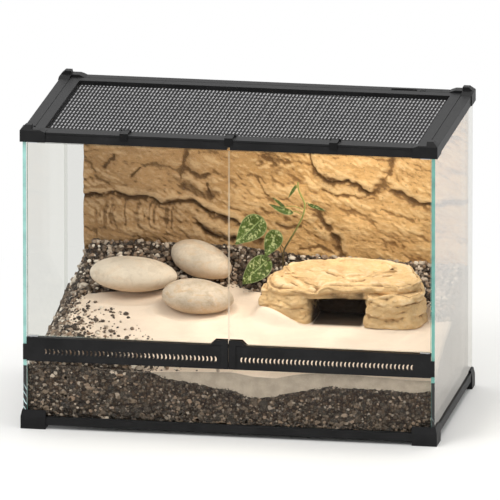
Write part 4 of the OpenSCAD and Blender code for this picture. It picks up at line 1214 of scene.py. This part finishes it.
class TERRARIUM_OT_stones(Maker):
    """Three smooth river stones"""
    bl_idname = "terrarium.stones"
    bl_label = "Stones"

    def execute(self, context):
        finish = stone_finish(tuple(self.bed.stone_colour))
        nu, nv = 96, 48
        for k, (node, ((mx, my, mz), (a, b, c), turn, tilt, cut)) in enumerate(STONES.items()):
            u = np.linspace(0, 2 * math.pi, nu, endpoint=False)[:, None]
            v = np.linspace(-math.pi / 2, math.pi / 2, nv)[None, :]
            x = a * np.cos(v) * np.cos(u) * (1 + 0.07 * np.cos(u))
            y = b * np.cos(v) * np.sin(u)
            z = c * np.sin(v) * np.ones_like(u)
            swell = 1 + 0.035 * layered(x / 55, y / 45, z / 40, 2, seed=90 + k) - 0.015
            x, y, z = x * swell, y * swell, z * swell
            x, z = rotated(x, z, -math.radians(tilt))
            x, y = rotated(x, y, math.radians(turn))
            z = np.maximum(z, cut - mz - 0.5)
            low = np.clip((-z - 2) / (0.75 * c), 0, 1)
            points = np.stack([mx + x, my + y, mz + z], -1).reshape(-1, 3) * MM
            add_piece(node.replace("stone", "river_stone"), points, grid_faces(nu, nv, closed=True), finish,
                      stands_for=[node],
                      tones={"low": low.ravel(), "pale": np.full(low.size, (1.0, 0.45, 0.0)[k])})
        return {"FINISHED"}


class TERRARIUM_OT_hide(Maker):
    """Layered rock hide: a broken slab that rests on blocks around its cave"""
    bl_idname = "terrarium.hide"
    bl_label = "Rock hide"

    # outline in plan, low z, top z at the middle, its slopes along x and y, undercut, ledge height, ledge depth
    BLOCKS = [
        ([(20, 6), (24, -20), (40, -33), (66, -34), (84, -36), (102, -40), (120, -33), (150, -31), (170, -27),
          (204, -26), (234, -21), (252, -8), (257, 8), (250, 28), (236, 42), (212, 56), (180, 69), (132, 77),
          (104, 68), (66, 56), (44, 40), (26, 24)],
         173, 202, 0.030, 0.21, 9, 13, 3.4),
        ([(172, -22), (180, -35), (206, -38), (236, -37), (254, -26), (261, 4), (256, 40), (244, 66), (214, 70),
          (184, 66), (170, 30)],
         133, 186, 0.0, 0.03, -3, 19, 6.0),
        ([(16, 2), (19, -18), (42, -29), (70, -31), (92, -24), (97, 6), (93, 52), (62, 66), (30, 46), (17, 20)],
         133, 184, 0.0, 0.05, -7, 22, 4.0),
        ([(70, 44), (120, 42), (190, 44), (200, 62), (160, 74), (118, 76), (74, 68)],
         133, 196, 0.0, 0.0, 0, 15, 2.0),
        ([(172, -30), (184, -39.5), (212, -39), (224, -26), (200, -12), (174, -16)],
         132, 147, 0.0, 0.0, -1, 12, 2.0),
        ([(40, 42), (50, 12), (78, -6), (96, -24), (128, -20), (150, -2), (178, 2), (196, 16), (222, 26),
          (208, 48), (168, 68), (122, 74), (74, 56)],
         188, 206.5, 0.020, 0.19, 3, 6, 2.5),
    ]

    # cracks in the top: points in x and y, half width, depth
    CRACKS = [
        ([(41, 20), (48, 2), (60, -8), (72, -16), (88, -28)], 2.4, 2.6),
        ([(112, 17), (127, 9), (145, -2), (157, -10), (170, -22)], 2.0, 2.6),
        ([(145, -2), (168, 3), (178, 17), (180, 27)], 2.0, 2.4),
        ([(100, -12), (106, -24), (108, -42)], 3.5, 4.5),
        ([(70, 30), (96, 18), (112, 20)], 1.8, 1.4),
    ]

    def crack_depth(self, x, y):
        """How deep the cracks in the top are at x and y."""
        ragged = np.clip(0.85 + 1.4 * layered(x / 10, y / 8, octaves=2, seed=31), 0.15, 1.6)
        wx = x + 2.5 * layered(x / 14, y / 14, octaves=2, seed=32)
        wy = y + 3.5 * layered(x / 12, y / 12, octaves=2, seed=33)
        return np.max([depth * ragged * np.exp(-(distance_to(route, wx, wy) / half) ** 2)
                       for route, half, depth in self.CRACKS], axis=0)

    def loop(self, outline, count):
        """Points along a closed outline, smoothed a little, and their outward directions."""
        dense = smooth_line(outline, 24, closed=True)
        far = np.concatenate([[0], np.cumsum(np.hypot(*(np.roll(dense, -1, 0) - dense).T))])
        closed = np.concatenate([dense, dense[:1]])
        at = np.linspace(0, far[-1], count, endpoint=False)
        line = np.stack([np.interp(at, far, closed[:, 0]), np.interp(at, far, closed[:, 1])], -1)
        way = np.roll(line, -3, 0) - np.roll(line, 3, 0)
        out = np.stack([way[:, 1], -way[:, 0]], -1)
        return line, out / np.linalg.norm(out, axis=1)[:, None]

    def block(self, outline, low, high, slope_x, slope_y, undercut, ledge, ledge_depth, seed):
        """One rock, its points and relief."""
        span = max(np.ptp([p[0] for p in outline]), np.ptp([p[1] for p in outline]))
        na = int(span * (2.1)) + 60
        nt = int((high - low) * (1.1)) + 8
        rings = na // 9
        line, out = self.loop(outline, na)
        mid = line.mean(0)

        def plane(px, py):
            """The sloping level of the top, before its lumps."""
            return high + slope_x * (px - mid[0]) + slope_y * (py - mid[1])

        def lumps(px, py):
            return 7.0 * (chips(px / 34, py / 28, seed=seed) - 0.45)

        # the sides, from the foot to the rim: each ledge and lump pulls them in
        t = np.linspace(0, 1, nt)[None, :]
        ux, uy = (np.repeat(line[:, k:k + 1], nt, 1) for k in (0, 1))
        top = plane(ux, uy) + lumps(ux, uy) + 1.2 * layered(ux / 9, uy / 9, octaves=2, seed=seed)
        top = top - self.crack_depth(ux, uy)
        z = low + t * (top - low)
        step = (z + 7.0 * layered(ux / 42, uy / 42, z / 40, 2, seed=seed + 1)) / ledge
        edge = step - np.floor(step)
        deep = lattice(np.floor(step).astype(np.int64), seed, 1, 9)
        fade = np.clip(0.55 + 1.1 * layered(ux / 30, uy / 30, z / 16, 2, seed=seed + 7), 0.0, 1.3)
        groove = 1 - ease(0.0, 0.22, edge) * (1 - 0.75 * ease(0.3, 0.95, edge))
        pull = ledge_depth * fade * (0.4 + 0.8 * deep) * groove + undercut * (1 - t) ** 1.3
        pull = pull + 6.5 * (0.62 - chips(ux / 26, uy / 26, z / 13, seed=seed + 2))
        pull = pull + 2.4 * (0.6 - chips(ux / 9, uy / 9, z / 5, seed=seed + 3))
        pull = pull + 0.9 * layered(ux / 4, uy / 4, z / 3, 2, seed=6)
        rounded = 6
        near_rim = np.clip((z - (top - rounded)) / rounded, 0, 1)
        pull = pull + 5.0 * (1 - np.sqrt(np.clip(1 - near_rim ** 2, 0, 1)))
        pull = np.maximum(pull, 0)
        side = np.stack([ux - out[:, :1] * pull, uy - out[:, 1:] * pull, z], -1)
        # the top, from the rim to the middle
        rim_x, rim_y, rim_z = (side[:, -1, k:k + 1] for k in (0, 1, 2))
        s = np.linspace(0, 1, rings + 1)[1:][None, :]
        tx, ty = rim_x + (mid[0] - rim_x) * s, rim_y + (mid[1] - rim_y) * s
        turned = ty + 0.25 * tx
        rough = (lumps(tx, ty) + 3.6 * (chips(tx / 60, turned / 24, seed=seed + 4, lean=1.1) - 0.4)
                 + 1.0 * (chips(tx / 15, turned / 8, seed=seed + 5, lean=0.9) - 0.5)
                 + 0.5 * layered(tx / 4, ty / 3, octaves=2, seed=8))
        inward = ease(0, 0.10, s)
        level = (plane(tx, ty) + (rough - self.crack_depth(tx, ty)) * inward
                 + (rim_z - plane(rim_x, rim_y)) * (1 - inward))
        points = np.concatenate([side, np.stack([tx, ty, level], -1)], 1)
        reach = 4
        # relief is pale on the crests and dark in the hollows, for painted highlights and painted shade
        relief = np.concatenate([0.54 - (pull - blurred(pull, reach)) / 5.5,
                                 0.62 + (level - blurred(level, reach)) / 3.0], 1)
        return points, np.clip(relief, 0, 1)

    def execute(self, context):
        low, high = (np.array(c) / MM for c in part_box("rock_hide"))
        parts, relief, dark = [], [], []
        for k, block in enumerate(self.BLOCKS):
            points, depth = self.block(*block, seed=100 + 10 * k)
            points = np.clip(points, low + (0.2, 0.2, 0), high + (-0.2, -0.2, 5))
            x, y, z = np.moveaxis(points, -1, 0)
            # painted shade inside the cave
            in_cave = window(92, 97, 169, 174, x) * window(-27, -12, 58, 66, y) * (1 - ease(180, 186, z))
            dark.append(in_cave.ravel())
            relief.append(depth.ravel())
            parts.append((points.reshape(-1, 3), grid_faces(*x.shape, closed=True)))
        points, faces = joined(parts)
        add_piece("hide_rocks", points * MM, faces, hide_finish(tuple(self.bed.hide_colour)),
                  stands_for=["rock_hide"],
                  tones={"relief": np.concatenate(relief), "cave": np.concatenate(dark)})
        return {"FINISHED"}


class TERRARIUM_OT_plant(Maker):
    """Climbing plant: foot, stem and variegated leaves"""
    bl_idname = "terrarium.plant"
    bl_label = "Plant"

    STEM = [(34, 100, 163.1), (34, 100, 184), (34, 99, 198), (36, 98, 212), (46, 97, 230), (56, 97, 248),
            (64, 97, 266), (66, 97, 282), (61, 97, 294), (57, 97, 304), (56, 97, 314)]
    # stalk start, blade start, tip, half width, how far the blade sags, how far it folds
    LEAVES = [
        ((34.9, 98, 214), (2, 86, 257), (-33, 84, 221), 17, 5, 0.35),
        ((31.9, 98, 206), (26, 90, 238), (10, 88, 203), 12, 4, 0.45),
        ((31.8, 99, 198), (12, 84, 197), (-19, 44, 170), 15, 6, 0.35),
        ((61.6, 97, 266), (46, 92, 270), (14, 90, 281), 4.4, -3, 0.7),
        ((63.0, 97, 274), (36, 94, 277), (18, 95, 291), 2.2, 2, 0.9),
        ((68.1, 97, 282), (74, 96, 281), (98, 95, 273), 2.6, 2, 0.6),
        ((54.8, 97, 306), (53, 96, 308), (42, 95, 290), 2.2, 1, 0.8),
    ]

    def tube(self, route, radius, sides=10):
        """A round tube through points, with bent corners smoothed."""
        fine = smooth_line(route, 6)
        rings = []
        for k, p in enumerate(fine):
            way = fine[min(k + 1, len(fine) - 1)] - fine[max(k - 1, 0)]
            way /= np.linalg.norm(way)
            side = np.cross(way, (0.13, 1.0, 0.07))
            side /= np.linalg.norm(side)
            other = np.cross(way, side)
            r = radius * (1.0 - 0.35 * k / len(fine)) * (1.15 if k % 12 == 0 else 1.0)
            turn = np.linspace(0, 2 * math.pi, sides, endpoint=False)[:, None]
            rings.append(p + r * (np.cos(turn) * side + np.sin(turn) * other))
        points = np.stack(rings, 1)
        return points.reshape(-1, 3), grid_faces(sides, len(fine), closed=True)

    def leaf(self, start, tip, half, sag, fold):
        """Points, faces and tones of a curved heart-shaped blade with an upper and a lower skin."""
        start, tip = np.array(start, float), np.array(tip, float)
        along = tip - start
        length = np.linalg.norm(along)
        along /= length
        side = np.cross(along, (0, -1, 0))
        side /= np.linalg.norm(side)
        out = np.cross(side, along)
        if out[1] > 0:
            out = -out
        nu, nv = 34, 23
        u, v = np.meshgrid(np.linspace(0, 1, nu), np.linspace(-1, 1, nv), indexing="ij")
        width = half * np.sin(math.pi * u ** 0.62) ** 0.85 * (1 - 0.25 * u) * 1.18
        lobe = 0.13 * length * (1 - u) ** 3 * np.abs(v) ** 1.2
        lift = fold * np.abs(v) * width * 0.5 - sag * np.sin(math.pi * u) + sag * 0.9 * u ** 2
        ripple = 0.6 * np.sin(u * 18 + v * 3) * v * v
        place = (start + along * (u * length - lobe)[..., None] + side * (v * width)[..., None]
                 + out * (lift + ripple)[..., None])
        veins = np.abs(np.sin((u - 0.35 * np.abs(v)) * 26)) ** 0.6
        under = place - out * 0.35
        points = np.concatenate([place.reshape(-1, 3), under.reshape(-1, 3)])
        faces = grid_faces(nu, nv) + grid_faces(nu, nv, nu * nv, flip=True)
        rim = np.maximum(np.abs(v), ease(0.9, 1.0, u))
        tones = [np.concatenate([t.ravel()] * 2) for t in (np.abs(v), rim, veins)]
        return points, faces, tones

    def execute(self, context):
        dress("plant_base", foot_finish())
        stem = stem_finish()
        points, faces = self.tube(self.STEM, 1.55)
        add_piece("stem_curve", points * MM, faces, stem, stands_for=["plant_stem"])
        stalks, blades, tones = [], [], []
        for stalk, start, tip, half, sag, fold in self.LEAVES:
            bend = (np.array(stalk) + np.array(start)) / 2 + np.array((0, -1.5, 3.0))
            stalks.append(self.tube([stalk, tuple(bend), start], 0.62, 8))
            points, faces, these = self.leaf(start, tip, half, sag, fold)
            blades.append((points, faces))
            tones.append(these)
        points, faces = joined(stalks)
        add_piece("leaf_stalks", points * MM, faces, stem)
        points, faces = joined(blades)
        add_piece("leaf_blades", points * MM, faces, leaf_finish(tuple(self.bed.leaf_colour)),
                  stands_for=["plant_leaves"],
                  tones=dict(zip(("across", "rim", "vein"), np.concatenate(tones, 1))))
        return {"FINISHED"}


STEPS = [TERRARIUM_OT_stage, TERRARIUM_OT_frame, TERRARIUM_OT_glass, TERRARIUM_OT_metal, TERRARIUM_OT_net,
         TERRARIUM_OT_wall, TERRARIUM_OT_bed, TERRARIUM_OT_stones, TERRARIUM_OT_hide, TERRARIUM_OT_plant]


class TERRARIUM_PT_panel(bpy.types.Panel):
    bl_label = "Terrarium"
    bl_idname = "TERRARIUM_PT_panel"
    bl_space_type = "VIEW_3D"
    bl_region_type = "UI"
    bl_category = "Terrarium"

    def draw(self, context):
        for group in (context.scene.terrarium_tank, context.scene.terrarium_bed):
            for key in group.bl_rna.properties.keys():
                if key not in ("rna_type", "name"):
                    self.layout.prop(group, key)
        for step in STEPS:
            self.layout.operator(step.bl_idname)


CLASSES = [TankSettings, BedSettings, *STEPS, TERRARIUM_PT_panel]


def register():
    for item in CLASSES:
        bpy.utils.register_class(item)
    bpy.types.Scene.terrarium_tank = PointerProperty(type=TankSettings)
    bpy.types.Scene.terrarium_bed = PointerProperty(type=BedSettings)


def unregister():
    del bpy.types.Scene.terrarium_tank
    del bpy.types.Scene.terrarium_bed
    for item in reversed(CLASSES):
        bpy.utils.unregister_class(item)


def main():
    register()
    for step in STEPS:
        group, name = step.bl_idname.split(".")
        if getattr(getattr(bpy.ops, group), name)() != {"FINISHED"}:
            raise RuntimeError(f"{step.bl_label} could not be made")


if __name__ == "__main__":
    main()
